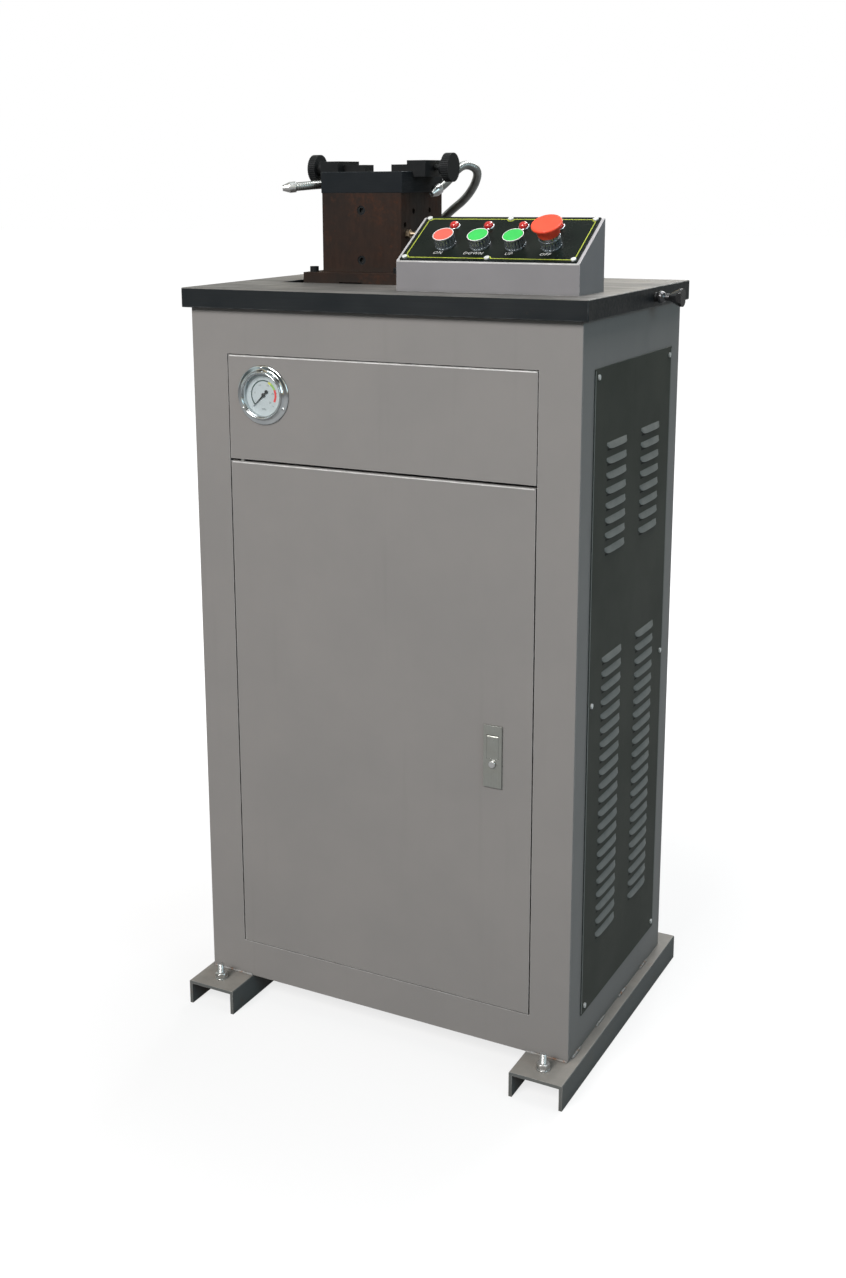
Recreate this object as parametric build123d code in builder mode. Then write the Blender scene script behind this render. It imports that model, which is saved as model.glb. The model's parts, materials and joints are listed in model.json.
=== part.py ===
from build123d import *
from math import atan2, cos, degrees, hypot, pi, sin
import os

# Hydraulic notch-broaching machine on a sheet-steel cabinet.
# x runs to the right, y to the back and z up; the origin is on the floor, under the middle of the cabinet.
# All sizes are in millimetres.

os.makedirs("parts", exist_ok=True)

# base channels
channel_height = 38
channel_width = 80
channel_wall = 5
channel_front_reach = 59
channel_back_reach = 39
left_channel_inset = 34
right_channel_inset = 25
channel_edge_radius = 2
leveller_inset = 29
leveller_radius = 4
leveller_lift = 0.6
leveller_top = 63
foot_pad_radius = 10
foot_pad_thickness = 3
nut_across_flats = 13
nut_height = 6.5

# cabinet
cabinet_width = 600
cabinet_depth = 390
cabinet_height = 1036.5
sheet = 2
sheet_bend = 1.4
stile_width = 59.7
bottom_rail = 57.2
top_rail = 64.2
frame_return = 20
stop_lip = 8
door_gap = 1.8
fascia_height = 150
fascia_border = 1.3
fascia_gap = 4
pan_depth = 17.7
seat_gap = 0.3
floor_thickness = 3
cross_rail_height = 48
rail_thickness = 3
seat_flange = 18
seat_thickness = 3

# door pivots
pivot_inset = 16
pivot_depth = 7
pivot_radius = 3.5
pivot_length = 19
pivot_head_radius = 4.8
pivot_head_height = 3
running_clearance = 0.05

# lock
lock_inset = 59.5
lock_rise = 422
lock_width = 27.5
lock_height = 90
lock_plate_thickness = 2.5
lock_case_depth = 15
lock_rim = 3
handle_width = 17.3
handle_height = 34
handle_thickness = 6
handle_drop = 14
handle_swing_room = 0.4
handle_side_clearance = 0.2
trunnion_radius = 1.2
trunnion_length = 1.5
key_button_radius = 5
key_button_drop = 55.5
key_button_height = 3
key_button_depth = 9
key_button_travel = 3
key_button_round = 0.8

# side covers
cover_side_margin = 39
cover_bottom_margin = 50
cover_top_margin = 64.5
cover_shift = 4
cover_thickness = 1.2
cover_screw_inset = 12
cover_opening_margin = 22
louvre_width = 76
louvre_spread = 137
louvre_height = 8.4
louvre_rise = 3.2
louvre_lip = 1.2
louvre_pitch = 20.6
upper_louvres = 8
upper_louvre_drop = 257
lower_louvre_rise = 98
louvre_group_gap = 134
panel_screw_radius = 3.6
panel_screw_height = 2
panel_shank_radius = 1.9
panel_shank_length = 5

# gauge
gauge_inset = 58.4
gauge_drop = 55.2
gauge_flange_radius = 42.5
gauge_flange_thickness = 2.5
gauge_bezel_radius = 34
gauge_bezel_height = 9
gauge_bezel_round = 1
gauge_dial_radius = 30
gauge_case_depth = 26
gauge_case_radius = 31.5
gauge_glass_thickness = 1.5
gauge_glass_recess = 1.5
gauge_glass_rim = 1.5
dial_recess = 7
dial_thickness = 1
needle_length = 24
needle_zero = 45
needle_tail = 9
needle_thickness = 0.6
needle_root_half = 1.6
needle_tip_half = 0.3
needle_hub_radius = 3
needle_float = 1.2
spindle_radius = 1
gauge_socket_radius = 8
gauge_socket_length = 22

# table
table_overhang = 10
table_thickness = 28
table_edge = 1
chip_slot_width = 38.5
chip_slot_gap = 1.2
chip_slot_forward = 103
chip_slot_backward = 55

# broaching head
head_inset_x = 181.7
head_inset_y = 145
base_width = 160
base_depth = 200
base_thickness = 15.5
base_notch_width = 39
base_notch_height = 2
base_notch_depth = 12
base_screw_inset_x = 10
base_screw_inset_y = 15
body_width = 132.3
body_depth = 133
body_height = 113.5
head_edge = 0.8
cap_width = 135
cap_height = 30.5
cap_screw_x = 54
cap_screw_y = 54
socket_screw_radius = 6.5
socket_screw_head = 8
socket_shank_radius = 4
socket_key_radius = 3.4
counterbore_depth = 9
socket_shank_length = 11
head_clearance = 0.3
front_screw_heights = (16.8, 88.7)
side_hole_radius = 4.2
side_hole_depth = 18
side_holes = ((-4, 68), (23, 87), (75, 87))
brass_forward = 48
brass_height = 55
brass_radius = 4.5
brass_tube_radius = 3.4
brass_length = 22
brass_nut = 11
brass_end_hex = 9
brass_nut_height = 6

# broach, its guides and the hydraulic cylinder below it
channel_half_x = 20
channel_half_y = 38
holder_half_x = 7.5
holder_half_y = 30
holder_length = 340
holder_drop = 7
holder_edge = 1
gib_lap = 8
gib_clearance = 0.05
cap_opening_clearance = 0.5
broach_thickness = 5
broach_width = 12
broach_length = 290
broach_inset = 20
broach_back = 3
u_ridge_width = 2
v_ridge_width = 2.4
u_ridge_flat = 1.6
v_ridge_flat = 0.3
tooth_rise = 3.5
tooth_pitch = 5
stroke = 250
rod_radius = 12.5
piston_radius = 25
piston_height = 24
piston_end_gap = 4
barrel_wall = 8
barrel_end = 22
rod_plate_clearance = 2
cylinder_gap = 35
port_bore = 4
port_inset = 12
column_offset = 60
column_radius = 10
cylinder_plate_half = 78
cylinder_plate_thickness = 20
port_radius = 9
port_length = 12

# clamps
jaw_gap = 45
jaw_length = 43.5
jaw_depth = 28
jaw_height = 10
jaw_clearance = 0.1
bracket_inner = 58
bracket_outer = 88
bracket_depth = 65
bracket_rise = 15.5
bracket_drop = 8
bracket_cap_gap = 0.3
bracket_wall = 8
clamp_screw_radius = 4
clamp_nose_radius = 3
clamp_nose_reach = 8
clamp_nose_length = 20
knob_inner = 106
knob_radius = 20.8
knob_thickness = 12
knob_hub_radius = 11
knob_hub_length = 8
knob_flutes = 40
knob_flute_depth = 0.7
clamp_axis_rise = 5

# console
console_inset_x = 23
console_width = 265
console_inset_y = 41.8
console_depth = 88.4
console_front_height = 40.8
console_back_height = 96.3
console_wall = 2
console_corner = 1
plate_width = 256
plate_height = 102
plate_thickness = 1.5
plate_corner = 1.5
console_screw_inset_x = 6
console_screw_inset_y = 5.3
button_pitch = 51.15
button_rise = 35.6
button_shift = 4.8
bezel_radius = 14.5
bezel_height = 17.6
bezel_bore = 13.5
bezel_floor = 3
button_radius = 13.3
button_cap_height = 6
stem_clearance = 0.4
stem_radius = 6
stem_depth = 16
stop_radius = 20.8
stop_height = 36.3
stop_head_height = 2.8
stop_head_round = 1.3
stop_cone_top = 17
stop_cone_radius = 14.3
stop_cone_height = 14.1
stop_collar_radius = 12.6
stop_collar_length = 9
stop_travel = 4
lamp_rise = 79.4
lamp_shift = -4.6
lamp_radius = 6.4
lamp_height = 7
lamp_stem_radius = 4
lamp_stem_length = 14
lamp_collar = 2.5

# coolant
hose_radius = 6.5
hose_root_back = 113
hose_root_offsets = (-31.7, 23.3)
hose_arc_share = 0.45
supply_bend = 32
supply_offset = 118.3
supply_drop = 54.5
collar_across_flats = 20
collar_height = 9
manifold_overlap = 15
manifold_half_depth = 10
manifold_height = 20
nozzle_barrel = 9
nozzle_cone = 11
nozzle_radius = 8
nozzle_tip_radius = 4
nozzle_bore = 2.5
tank_side_gap = 14
coolant_tank_right = -62
tank_end_gap = 43
coolant_tank_height = 200
tank_wall = 2.5
tank_lid_thickness = 4
chute_wall = 1.5
chute_hopper_height = 60
chute_floor = 2
chute_pipe_radius = 19
coolant_pump_inset_x = 48
coolant_pump_inset_y = 55
coolant_pump_radius = 42
coolant_pump_height = 140
coolant_pump_flange = 8
coolant_pump_round = 4
tap_inset = 145
tap_ball_radius = 8.5
tap_boss_radius = 7
tap_neck_radius = 5
tap_neck_length = 21
tap_spindle_radius = 3
tap_spindle_length = 33
tap_length = 40
tap_handle_radius = 12.5
tap_handle_rim = 4
tap_slot = 4
tap_slot_depth = 8

# hydraulic unit
oil_tank_left = -18
oil_tank_side_gap = 26
oil_tank_height = 270
motor_inset = 92
motor_forward = 30
motor_radius = 72
motor_height = 210
motor_wall = 7
fan_cowl_height = 40
end_shield = 10
motor_fins = 28
fin_height = 5
fin_width = 3
fin_root = 2
cowl_rings = (20, 30, 40, 50, 60)
cowl_hole_radius = 2.6
cowl_hole_spacing = 18.8
shaft_radius = 9.5
rotor_radius = 45
rotor_length = 120
fan_radius = 58
fan_blades = 7
fan_hub_radius = 22.5
fan_rise = 4
fan_thickness = 16
pump_half = 42
pump_height = 95
pump_bore_depth = 60
valve_inset = 18
valve_width = 92
valve_half_depth = 60
valve_forward = 50
valve_height = 60
solenoid_radius = 19
solenoid_length = 58
solenoid_spread = 42.3
pipe_radius = 6
pipe_bend = 28
pipe_stub = 30
pipe_columns = (30, 62)
stub_gap = 26
stub_forward = 90
stub_bend = 12
box_inset = 30
box_width = 200
box_depth = 95
box_drop = 424.5
box_height = 300
box_wall = 1.5
gland_across_flats = 28
gland_hex_height = 13
gland_thread_radius = 10
gland_thread_length = 4
gland_length = 26
gland_shift = 50
gland_rise = 50
gland_neck_radius = 11.2
gland_bore = 5.6

# levels worked out from the sizes above
cabinet_top = channel_height + cabinet_height
table_z = cabinet_top + table_thickness
half_width = cabinet_width / 2
front = -cabinet_depth / 2
back = cabinet_depth / 2
opening_half = half_width - stile_width
opening_bottom = channel_height + bottom_rail
opening_top = cabinet_top - top_rail
fascia_top = opening_top - fascia_border
fascia_bottom = fascia_top - fascia_height
fascia_half = opening_half - fascia_border
door_half = opening_half - door_gap
door_bottom = opening_bottom + door_gap
door_top = fascia_bottom - fascia_gap
floor_z = channel_height + floor_thickness
pan_back = front + pan_depth
channel_front = front - channel_front_reach
channel_back = back + channel_back_reach
left_channel_x = left_channel_inset - half_width
right_channel_x = half_width - right_channel_inset
lock_x = opening_half - lock_inset
gauge_x = gauge_inset - fascia_half
gauge_z = fascia_top - gauge_drop
head_x = head_inset_x - half_width
head_y = back - head_inset_y
console_left = half_width - console_inset_x - console_width
console_front = front + console_inset_y
console_back = console_front + console_depth
hose_root_y = head_y + hose_root_back
hose_roots = [head_x + offset for offset in hose_root_offsets]
tank_front = front + sheet + tank_end_gap
tank_back = back - sheet - tank_end_gap
base_z = table_z + base_thickness
body_z = base_z + body_height
cap_z = body_z + cap_height


# shapes shared by several pieces
def block(x0, x1, y0, y1, z0, z1, mode=Mode.ADD):
    with BuildSketch(Plane.XY.offset(z0)) as outline:
        with Locations(((x0 + x1) / 2, (y0 + y1) / 2)):
            Rectangle(x1 - x0, y1 - y0)
    extrude(outline.sketch, amount=z1 - z0, mode=mode)


def disc(plane, radius, height, mode=Mode.ADD):
    with BuildSketch(plane) as outline:
        Circle(radius)
    extrude(outline.sketch, amount=height, mode=mode)


def hexagon(plane, across_flats, height, mode=Mode.ADD):
    with BuildSketch(plane) as outline:
        RegularPolygon(across_flats / 2, 6, major_radius=False)
    extrude(outline.sketch, amount=height, mode=mode)


def facing(x, y, z, direction):
    return Plane(origin=(x, y, z), z_dir=direction)


def bent_rod(points, bend, radius):
    with BuildLine() as route:
        FilletPolyline(*points, radius=bend)
    with BuildSketch(Plane(origin=route.line @ 0, z_dir=route.line % 0)) as section:
        Circle(radius)
    sweep(section.sketch, path=route.wires()[0])


def socket_screw(plane, shank_length):
    disc(plane, socket_screw_radius, socket_screw_head)
    disc(plane, socket_shank_radius, -shank_length)
    hexagon(plane.offset(socket_screw_head), socket_key_radius * 2, -socket_screw_head / 2, Mode.SUBTRACT)


# base channels: web on top, flanges down, open at both ends
with BuildPart() as base_channels:
    for channel_x in (left_channel_x, right_channel_x):
        channel_left = channel_x - channel_width / 2
        channel_right = channel_x + channel_width / 2
        block(channel_left, channel_right, channel_front, channel_back, 0, channel_height)
        block(channel_left + channel_wall, channel_right - channel_wall, channel_front, channel_back,
              0, channel_height - channel_wall, Mode.SUBTRACT)
    long_edges = base_channels.edges().filter_by(Axis.Y)
    outer_edges = long_edges.group_by(Axis.Z)[-1]
    fillet(outer_edges, channel_edge_radius)
    leveller_ends = (channel_front + leveller_inset, channel_back - leveller_inset / 2)
    for channel_x in (left_channel_x, right_channel_x):
        for leveller_y in leveller_ends:
            leveller_plane = facing(channel_x, leveller_y, 0, (0, 0, 1))
            disc(leveller_plane, leveller_radius, channel_height, Mode.SUBTRACT)
base_channels.part.label = "base_channels"
export_step(base_channels.part, "parts/base_channels.step")

# levelling screws, each with a foot pad under the web and a lock nut on it
with BuildPart() as levelling_screws:
    for channel_x in (left_channel_x, right_channel_x):
        for leveller_y in leveller_ends:
            foot_plane = facing(channel_x, leveller_y, leveller_lift, (0, 0, 1))
            disc(foot_plane, foot_pad_radius, foot_pad_thickness)
            disc(facing(channel_x, leveller_y, leveller_lift, (0, 0, 1)), leveller_radius,
                 leveller_top - leveller_lift)
            hexagon(facing(channel_x, leveller_y, channel_height, (0, 0, 1)), nut_across_flats, nut_height)
levelling_screws.part.label = "levelling_screws"
export_step(levelling_screws.part, "parts/levelling_screws.step")

# front frame: a welded ring of sheet with inward returns and a stop lip on the lock side
with BuildPart() as front_frame:
    block(-half_width, half_width, front, front + sheet, channel_height, cabinet_top)
    block(-opening_half - sheet, opening_half + sheet, front, front + frame_return,
          opening_bottom - sheet, opening_top + sheet)
    block(-opening_half, opening_half, front, front + frame_return,
          opening_bottom, opening_top, Mode.SUBTRACT)
    block(opening_half - stop_lip, opening_half, pan_back + seat_gap, front + frame_return,
          opening_bottom, door_top)
    pivot_plane = facing(pivot_inset - door_half, front + pivot_depth, 0, (0, 0, 1))
    disc(pivot_plane.offset(opening_bottom - sheet), pivot_radius, sheet, Mode.SUBTRACT)
    upright_edges = front_frame.edges().filter_by(Axis.Z)
    front_corners = upright_edges.filter_by_position(Axis.Y, front - seat_gap, front + seat_gap)
    outer_corners = front_corners.group_by(Axis.X)[0] + front_corners.group_by(Axis.X)[-1]
    fillet(outer_corners, sheet_bend)
front_frame.part.label = "front_frame"
export_step(front_frame.part, "parts/front_frame.step")

# the slope of the console, used by everything that is set in it
console_slope = atan2(console_back_height - console_front_height, console_back - console_front)
slope_length = hypot(console_back_height - console_front_height, console_back - console_front)
slope_plane = Plane(origin=(console_left, console_front, table_z + console_front_height), x_dir=(1, 0, 0),
                    z_dir=(0, -sin(console_slope), cos(console_slope)))
plate_left = (console_width - plate_width) / 2
plate_low = (slope_length - plate_height) / 2
screw_columns = (plate_left + console_screw_inset_x, console_width / 2,
                 console_width - plate_left - console_screw_inset_x)
screw_rows = (plate_low + console_screw_inset_y, slope_length - plate_low - console_screw_inset_y)


def on_slope(column, row, lift=0):
    centre = slope_plane.origin + slope_plane.x_dir * column + slope_plane.y_dir * row
    return Plane(origin=centre + slope_plane.z_dir * lift, x_dir=(1, 0, 0), z_dir=slope_plane.z_dir)


# panel screws: pan heads with their shanks, on both side covers and on the console plate
cover_low = front + cover_side_margin + cover_shift
cover_high = back - cover_side_margin + cover_shift
cover_bottom = channel_height + cover_bottom_margin
cover_top = cabinet_top - cover_top_margin
cover_screw_y = (cover_low + cover_screw_inset, cover_high - cover_screw_inset)
cover_screw_z = (cover_bottom + cover_screw_inset, (cover_bottom + cover_top) / 2,
                 cover_top - cover_screw_inset)
hole_radius = panel_shank_radius + running_clearance


def side_screw_planes(distance):
    spots = [(side, y, z) for side in (-1, 1) for y in cover_screw_y for z in cover_screw_z]
    return [facing(side * distance, y, z, (side, 0, 0)) for side, y, z in spots]


def slope_screw_planes(lift):
    return [on_slope(column, row, lift) for column in screw_columns for row in screw_rows]


with BuildPart() as panel_screws:
    screw_planes = side_screw_planes(half_width + cover_thickness) + slope_screw_planes(plate_thickness)
    for screw_plane in screw_planes:
        disc(screw_plane, panel_screw_radius, panel_screw_height)
        disc(screw_plane, panel_shank_radius, -panel_shank_length)
panel_screws.part.label = "panel_screws"
export_step(panel_screws.part, "parts/panel_screws.step")

# side sheets, each open behind its louvred cover
with BuildPart() as side_sheets:
    for side in (-1, 1):
        inner, outer = sorted((side * (half_width - sheet), side * half_width))
        block(inner, outer, front + sheet, back - sheet, channel_height, cabinet_top)
        block(inner, outer, cover_low + cover_opening_margin, cover_high - cover_opening_margin,
              cover_bottom + cover_opening_margin, cover_top - cover_opening_margin, Mode.SUBTRACT)
    for screw_plane in side_screw_planes(half_width):
        disc(screw_plane, hole_radius, -sheet, Mode.SUBTRACT)
side_sheets.part.label = "side_sheets"
export_step(side_sheets.part, "parts/side_sheets.step")


# a louvre is a slot with a sloping hood over it, pressed outwards and open at the bottom
def louvre_levels():
    upper_louvre_bottom = cover_top - upper_louvre_drop
    lower_louvre_bottom = cover_bottom + lower_louvre_rise
    lower_louvres = int((upper_louvre_bottom - louvre_group_gap - lower_louvre_bottom) / louvre_pitch)
    upper = [upper_louvre_bottom + louvre_pitch * step for step in range(upper_louvres)]
    lower = [lower_louvre_bottom + louvre_pitch * step for step in range(lower_louvres)]
    return lower + upper


with BuildPart() as side_covers:
    for side in (-1, 1):
        root = side * half_width
        face = side * (half_width + cover_thickness)
        lip = side * (half_width + cover_thickness + louvre_rise)
        inner, outer = sorted((root, face))
        block(inner, outer, cover_low, cover_high, cover_bottom, cover_top)
        for column_y in (cover_shift - louvre_spread / 2, cover_shift + louvre_spread / 2):
            plane = Plane(origin=(0, column_y - louvre_width / 2, 0), x_dir=(1, 0, 0), z_dir=(0, -1, 0))
            with BuildSketch(plane) as hoods:
                for level in louvre_levels():
                    with BuildLine():
                        Polyline((face, level), (lip, level), (lip, level + louvre_lip),
                                 (face, level + louvre_height), close=True)
                    make_face()
            extrude(hoods.sketch, amount=-louvre_width)
            with BuildSketch(plane.offset(-louvre_lip)) as slots:
                for level in louvre_levels():
                    with BuildLine():
                        Polyline((root, level), (lip - side * louvre_lip, level),
                                 (root, level + louvre_height - 2 * louvre_lip), close=True)
                    make_face()
            extrude(slots.sketch, amount=2 * louvre_lip - louvre_width, mode=Mode.SUBTRACT)
    for screw_plane in side_screw_planes(half_width):
        disc(screw_plane, hole_radius, cover_thickness, Mode.SUBTRACT)
side_covers.part.label = "side_covers"
export_step(side_covers.part, "parts/side_covers.step")

# back panel, with the hole for the mains cable's gland
box_left = half_width - box_inset - box_width
box_bottom = cabinet_top - box_drop
gland_x = box_left + gland_shift
gland_z = box_bottom + gland_rise
with BuildPart() as back_panel:
    block(-half_width, half_width, back - sheet, back, channel_height, cabinet_top)
    disc(facing(gland_x, back - sheet, gland_z, (0, 1, 0)), gland_thread_radius, sheet, Mode.SUBTRACT)
back_panel.part.label = "back_panel"
export_step(back_panel.part, "parts/back_panel.step")

# cabinet floor, resting on the channels
with BuildPart() as floor_pan:
    block(sheet - half_width, half_width - sheet, front + sheet, back - sheet, channel_height, floor_z)
floor_pan.part.label = "floor_pan"
export_step(floor_pan.part, "parts/floor_pan.step")

# inner frame: the rail behind the fascia and the flange ring that the table is bolted to
with BuildPart() as inner_frame:
    block(-opening_half, opening_half, pan_back, pan_back + rail_thickness,
          fascia_bottom, fascia_bottom + cross_rail_height)
    block(sheet - half_width, half_width - sheet, front + sheet, back - sheet,
          cabinet_top - seat_thickness, cabinet_top)
    block(sheet - half_width + seat_flange, half_width - sheet - seat_flange,
          front + sheet + seat_flange, back - sheet - seat_flange,
          cabinet_top - seat_thickness, cabinet_top, Mode.SUBTRACT)
inner_frame.part.label = "inner_frame"
export_step(inner_frame.part, "parts/inner_frame.step")


# a pan is a front sheet with four returns, open at the back
def pan(half, bottom, top):
    block(-half, half, front, pan_back, bottom, top)
    block(sheet - half, half - sheet, front + sheet, pan_back, bottom + sheet, top - sheet, Mode.SUBTRACT)


# fascia above the door, with the gauge's opening and the upper pivot's hole
gauge_plane = Plane(origin=(gauge_x, front, gauge_z), x_dir=(1, 0, 0), z_dir=(0, -1, 0))
with BuildPart() as fascia:
    pan(fascia_half, fascia_bottom, fascia_top)
    disc(gauge_plane, gauge_case_radius + seat_gap, -sheet, Mode.SUBTRACT)
    disc(pivot_plane.offset(fascia_bottom), pivot_radius, sheet, Mode.SUBTRACT)
fascia.part.label = "fascia"
export_step(fascia.part, "parts/fascia.step")

# pivot pins: one through the frame's lower return, one through the fascia's lower return
with BuildPart() as pivot_pins:
    lower_seat = opening_bottom - sheet
    disc(pivot_plane.offset(lower_seat), pivot_radius, pivot_length)
    disc(pivot_plane.offset(lower_seat), pivot_head_radius, -pivot_head_height)
    upper_seat = fascia_bottom + sheet
    disc(pivot_plane.offset(upper_seat), pivot_radius, -pivot_length)
    disc(pivot_plane.offset(upper_seat), pivot_head_radius, pivot_head_height)
pivot_pins.part.label = "pivot_pins"
export_step(pivot_pins.part, "parts/pivot_pins.step")

# door: a pan that turns on the pivot pins, cut out for the lock
lock_top = door_bottom + lock_rise
lock_bottom = lock_top - lock_height
case_half_width = lock_width / 2 - lock_rim
with BuildPart() as door_panel:
    pan(door_half, door_bottom, door_top)
    for level in (door_bottom, door_top - sheet):
        disc(pivot_plane.offset(level), pivot_radius + running_clearance, sheet, Mode.SUBTRACT)
    block(lock_x - case_half_width, lock_x + case_half_width, front, front + sheet,
          lock_bottom + lock_rim, lock_top - lock_rim, Mode.SUBTRACT)
door_panel.part.label = "door_panel"
export_step(door_panel.part, "parts/door_panel.step")

# lock body: a face plate with a case behind it, recessed for the handle and bored for the key button
handle_top = lock_top - handle_drop
handle_bottom = handle_top - handle_height
plate_front = front - lock_plate_thickness
trunnion_y = plate_front + handle_thickness / 2
trunnion_z = handle_top - handle_thickness / 2
key_button_z = lock_top - key_button_drop
trunnion_plane = facing(lock_x, trunnion_y, trunnion_z, (1, 0, 0))
key_button_plane = facing(lock_x, plate_front, key_button_z, (0, 1, 0))
with BuildPart() as lock_body:
    block(lock_x - lock_width / 2, lock_x + lock_width / 2, plate_front, front, lock_bottom, lock_top)
    block(lock_x - case_half_width, lock_x + case_half_width, front, front + lock_case_depth,
          lock_bottom + lock_rim, lock_top - lock_rim)
    recess_half = handle_width / 2 + handle_side_clearance
    block(lock_x - recess_half, lock_x + recess_half,
          plate_front, plate_front + handle_thickness + handle_swing_room * 2,
          handle_bottom - handle_swing_room, handle_top + handle_swing_room, Mode.SUBTRACT)
    disc(key_button_plane, key_button_radius + running_clearance, key_button_depth, Mode.SUBTRACT)
    disc(trunnion_plane.offset(-handle_width / 2 - trunnion_length), trunnion_radius + running_clearance,
         handle_width + 2 * trunnion_length, Mode.SUBTRACT)
lock_body.part.label = "lock_body"
export_step(lock_body.part, "parts/lock_body.step")

# lock handle: a lever rounded about its trunnions, lying flush in its recess
with BuildPart() as lock_handle:
    handle_side = Plane(origin=(lock_x - handle_width / 2, 0, 0), x_dir=(0, 1, 0), z_dir=(1, 0, 0))
    with BuildSketch(handle_side) as profile:
        with Locations((trunnion_y, (handle_bottom + trunnion_z) / 2)):
            Rectangle(handle_thickness, trunnion_z - handle_bottom)
        with Locations((trunnion_y, trunnion_z)):
            Circle(handle_thickness / 2)
    extrude(amount=handle_width)
    disc(trunnion_plane.offset(-handle_width / 2 - trunnion_length), trunnion_radius,
         handle_width + 2 * trunnion_length)
lock_handle.part.label = "lock_handle"
export_step(lock_handle.part, "parts/lock_handle.step")

# lock button, pressed to free the handle
with BuildPart() as lock_button:
    disc(key_button_plane, key_button_radius, -key_button_height)
    disc(key_button_plane, key_button_radius, key_button_depth - key_button_travel - seat_gap)
    fillet(lock_button.faces().sort_by(Axis.Y)[0].edges(), key_button_round)
lock_button.part.label = "lock_button"
export_step(lock_button.part, "parts/lock_button.step")

# gauge: flanged case, dial, glass and needle, all turned about the gauge's axis
glass_level = gauge_bezel_height - gauge_glass_recess - gauge_glass_thickness
dial_level = glass_level - dial_recess
with BuildPart() as gauge_case:
    disc(gauge_plane, gauge_flange_radius, gauge_flange_thickness)
    disc(gauge_plane, gauge_bezel_radius, gauge_bezel_height)
    disc(gauge_plane, gauge_case_radius, -gauge_case_depth)
    disc(gauge_plane.offset(-gauge_case_depth), gauge_socket_radius, -gauge_socket_length)
    disc(gauge_plane.offset(dial_level - dial_thickness), gauge_dial_radius,
         gauge_bezel_height - dial_level + dial_thickness, Mode.SUBTRACT)
    disc(gauge_plane.offset(glass_level), gauge_dial_radius + gauge_glass_rim,
         gauge_bezel_height - glass_level, Mode.SUBTRACT)
    bezel_rims = gauge_case.faces().filter_by(Axis.Y).sort_by(Axis.Y)[0].edges()
    fillet(bezel_rims, gauge_bezel_round)
gauge_case.part.label = "gauge_case"
export_step(gauge_case.part, "parts/gauge_case.step")

with BuildPart() as gauge_dial:
    disc(gauge_plane.offset(dial_level), gauge_dial_radius, -dial_thickness)
    disc(gauge_plane.offset(dial_level), spindle_radius, needle_float + needle_thickness)
gauge_dial.part.label = "gauge_dial"
export_step(gauge_dial.part, "parts/gauge_dial.step")

with BuildPart() as gauge_glass:
    disc(gauge_plane.offset(gauge_bezel_height - gauge_glass_recess), gauge_dial_radius + gauge_glass_rim,
         -gauge_glass_thickness)
gauge_glass.part.label = "gauge_glass"
export_step(gauge_glass.part, "parts/gauge_glass.step")

# needle, drawn straight down and turned to its zero at the lower left
needle_angle = needle_zero * pi / 180
needle_plane = Plane(origin=gauge_plane.offset(dial_level + needle_float).origin,
                     x_dir=(cos(needle_angle), 0, -sin(needle_angle)), z_dir=gauge_plane.z_dir)
with BuildPart() as gauge_needle:
    with BuildSketch(needle_plane) as outline:
        Circle(needle_hub_radius)
        with BuildLine():
            Polyline((-needle_root_half, needle_tail), (needle_root_half, needle_tail),
                     (needle_tip_half, -needle_length), (-needle_tip_half, -needle_length), close=True)
        make_face()
        Circle(spindle_radius + running_clearance, mode=Mode.SUBTRACT)
    extrude(amount=needle_thickness)
gauge_needle.part.label = "gauge_needle"
export_step(gauge_needle.part, "parts/gauge_needle.step")

# table top: bored for the broach, slotted for chips, tapped for the head's screws
chip_slot_right = head_x - base_width / 2 - chip_slot_gap
chip_slot_left = chip_slot_right - chip_slot_width
chip_slot_front = head_y - chip_slot_forward
chip_slot_back = head_y + chip_slot_backward
chip_slot_x = (chip_slot_left + chip_slot_right) / 2
chip_slot_y = (chip_slot_front + chip_slot_back) / 2
base_screw_x = (head_x - base_width / 2 + base_screw_inset_x, head_x + base_width / 2 - base_screw_inset_x)
base_screw_y = (head_y - base_depth / 2 + base_screw_inset_y, head_y + base_depth / 2 - base_screw_inset_y)
base_screw_planes = [facing(x, y, base_z, (0, 0, 1)) for x in base_screw_x for y in base_screw_y]
shank_hole = socket_shank_radius + running_clearance
base_screw_shank = base_thickness + socket_shank_length
opening_x = (head_x - channel_half_x, head_x + channel_half_x)
opening_y = (head_y - channel_half_y, head_y + channel_half_y)
with BuildPart() as table_top:
    block(-half_width - table_overhang, half_width + table_overhang,
          front - table_overhang, back + table_overhang, cabinet_top, table_z)
    chamfer(table_top.edges(), table_edge)
    block(*opening_x, *opening_y, cabinet_top, table_z, Mode.SUBTRACT)
    block(chip_slot_left, chip_slot_right, chip_slot_front, chip_slot_back,
          cabinet_top, table_z, Mode.SUBTRACT)
    for screw_plane in base_screw_planes:
        disc(screw_plane, shank_hole, -base_screw_shank, Mode.SUBTRACT)
    for root_x in hose_roots:
        disc(facing(root_x, hose_root_y, cabinet_top, (0, 0, 1)), hose_radius + running_clearance,
             table_thickness, Mode.SUBTRACT)
table_top.part.label = "table_top"
export_step(table_top.part, "parts/table_top.step")

# head base plate
with BuildPart() as head_base_plate:
    block(head_x - base_width / 2, head_x + base_width / 2, head_y - base_depth / 2, head_y + base_depth / 2,
          table_z, base_z)
    block(*opening_x, *opening_y, table_z, base_z, Mode.SUBTRACT)
    block(head_x - base_notch_width / 2, head_x + base_notch_width / 2, head_y - base_depth / 2,
          head_y - base_depth / 2 + base_notch_depth, table_z, table_z + base_notch_height, Mode.SUBTRACT)
    for screw_plane in base_screw_planes:
        disc(screw_plane, shank_hole, -base_thickness, Mode.SUBTRACT)
head_base_plate.part.label = "head_base_plate"
export_step(head_base_plate.part, "parts/head_base_plate.step")

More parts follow.
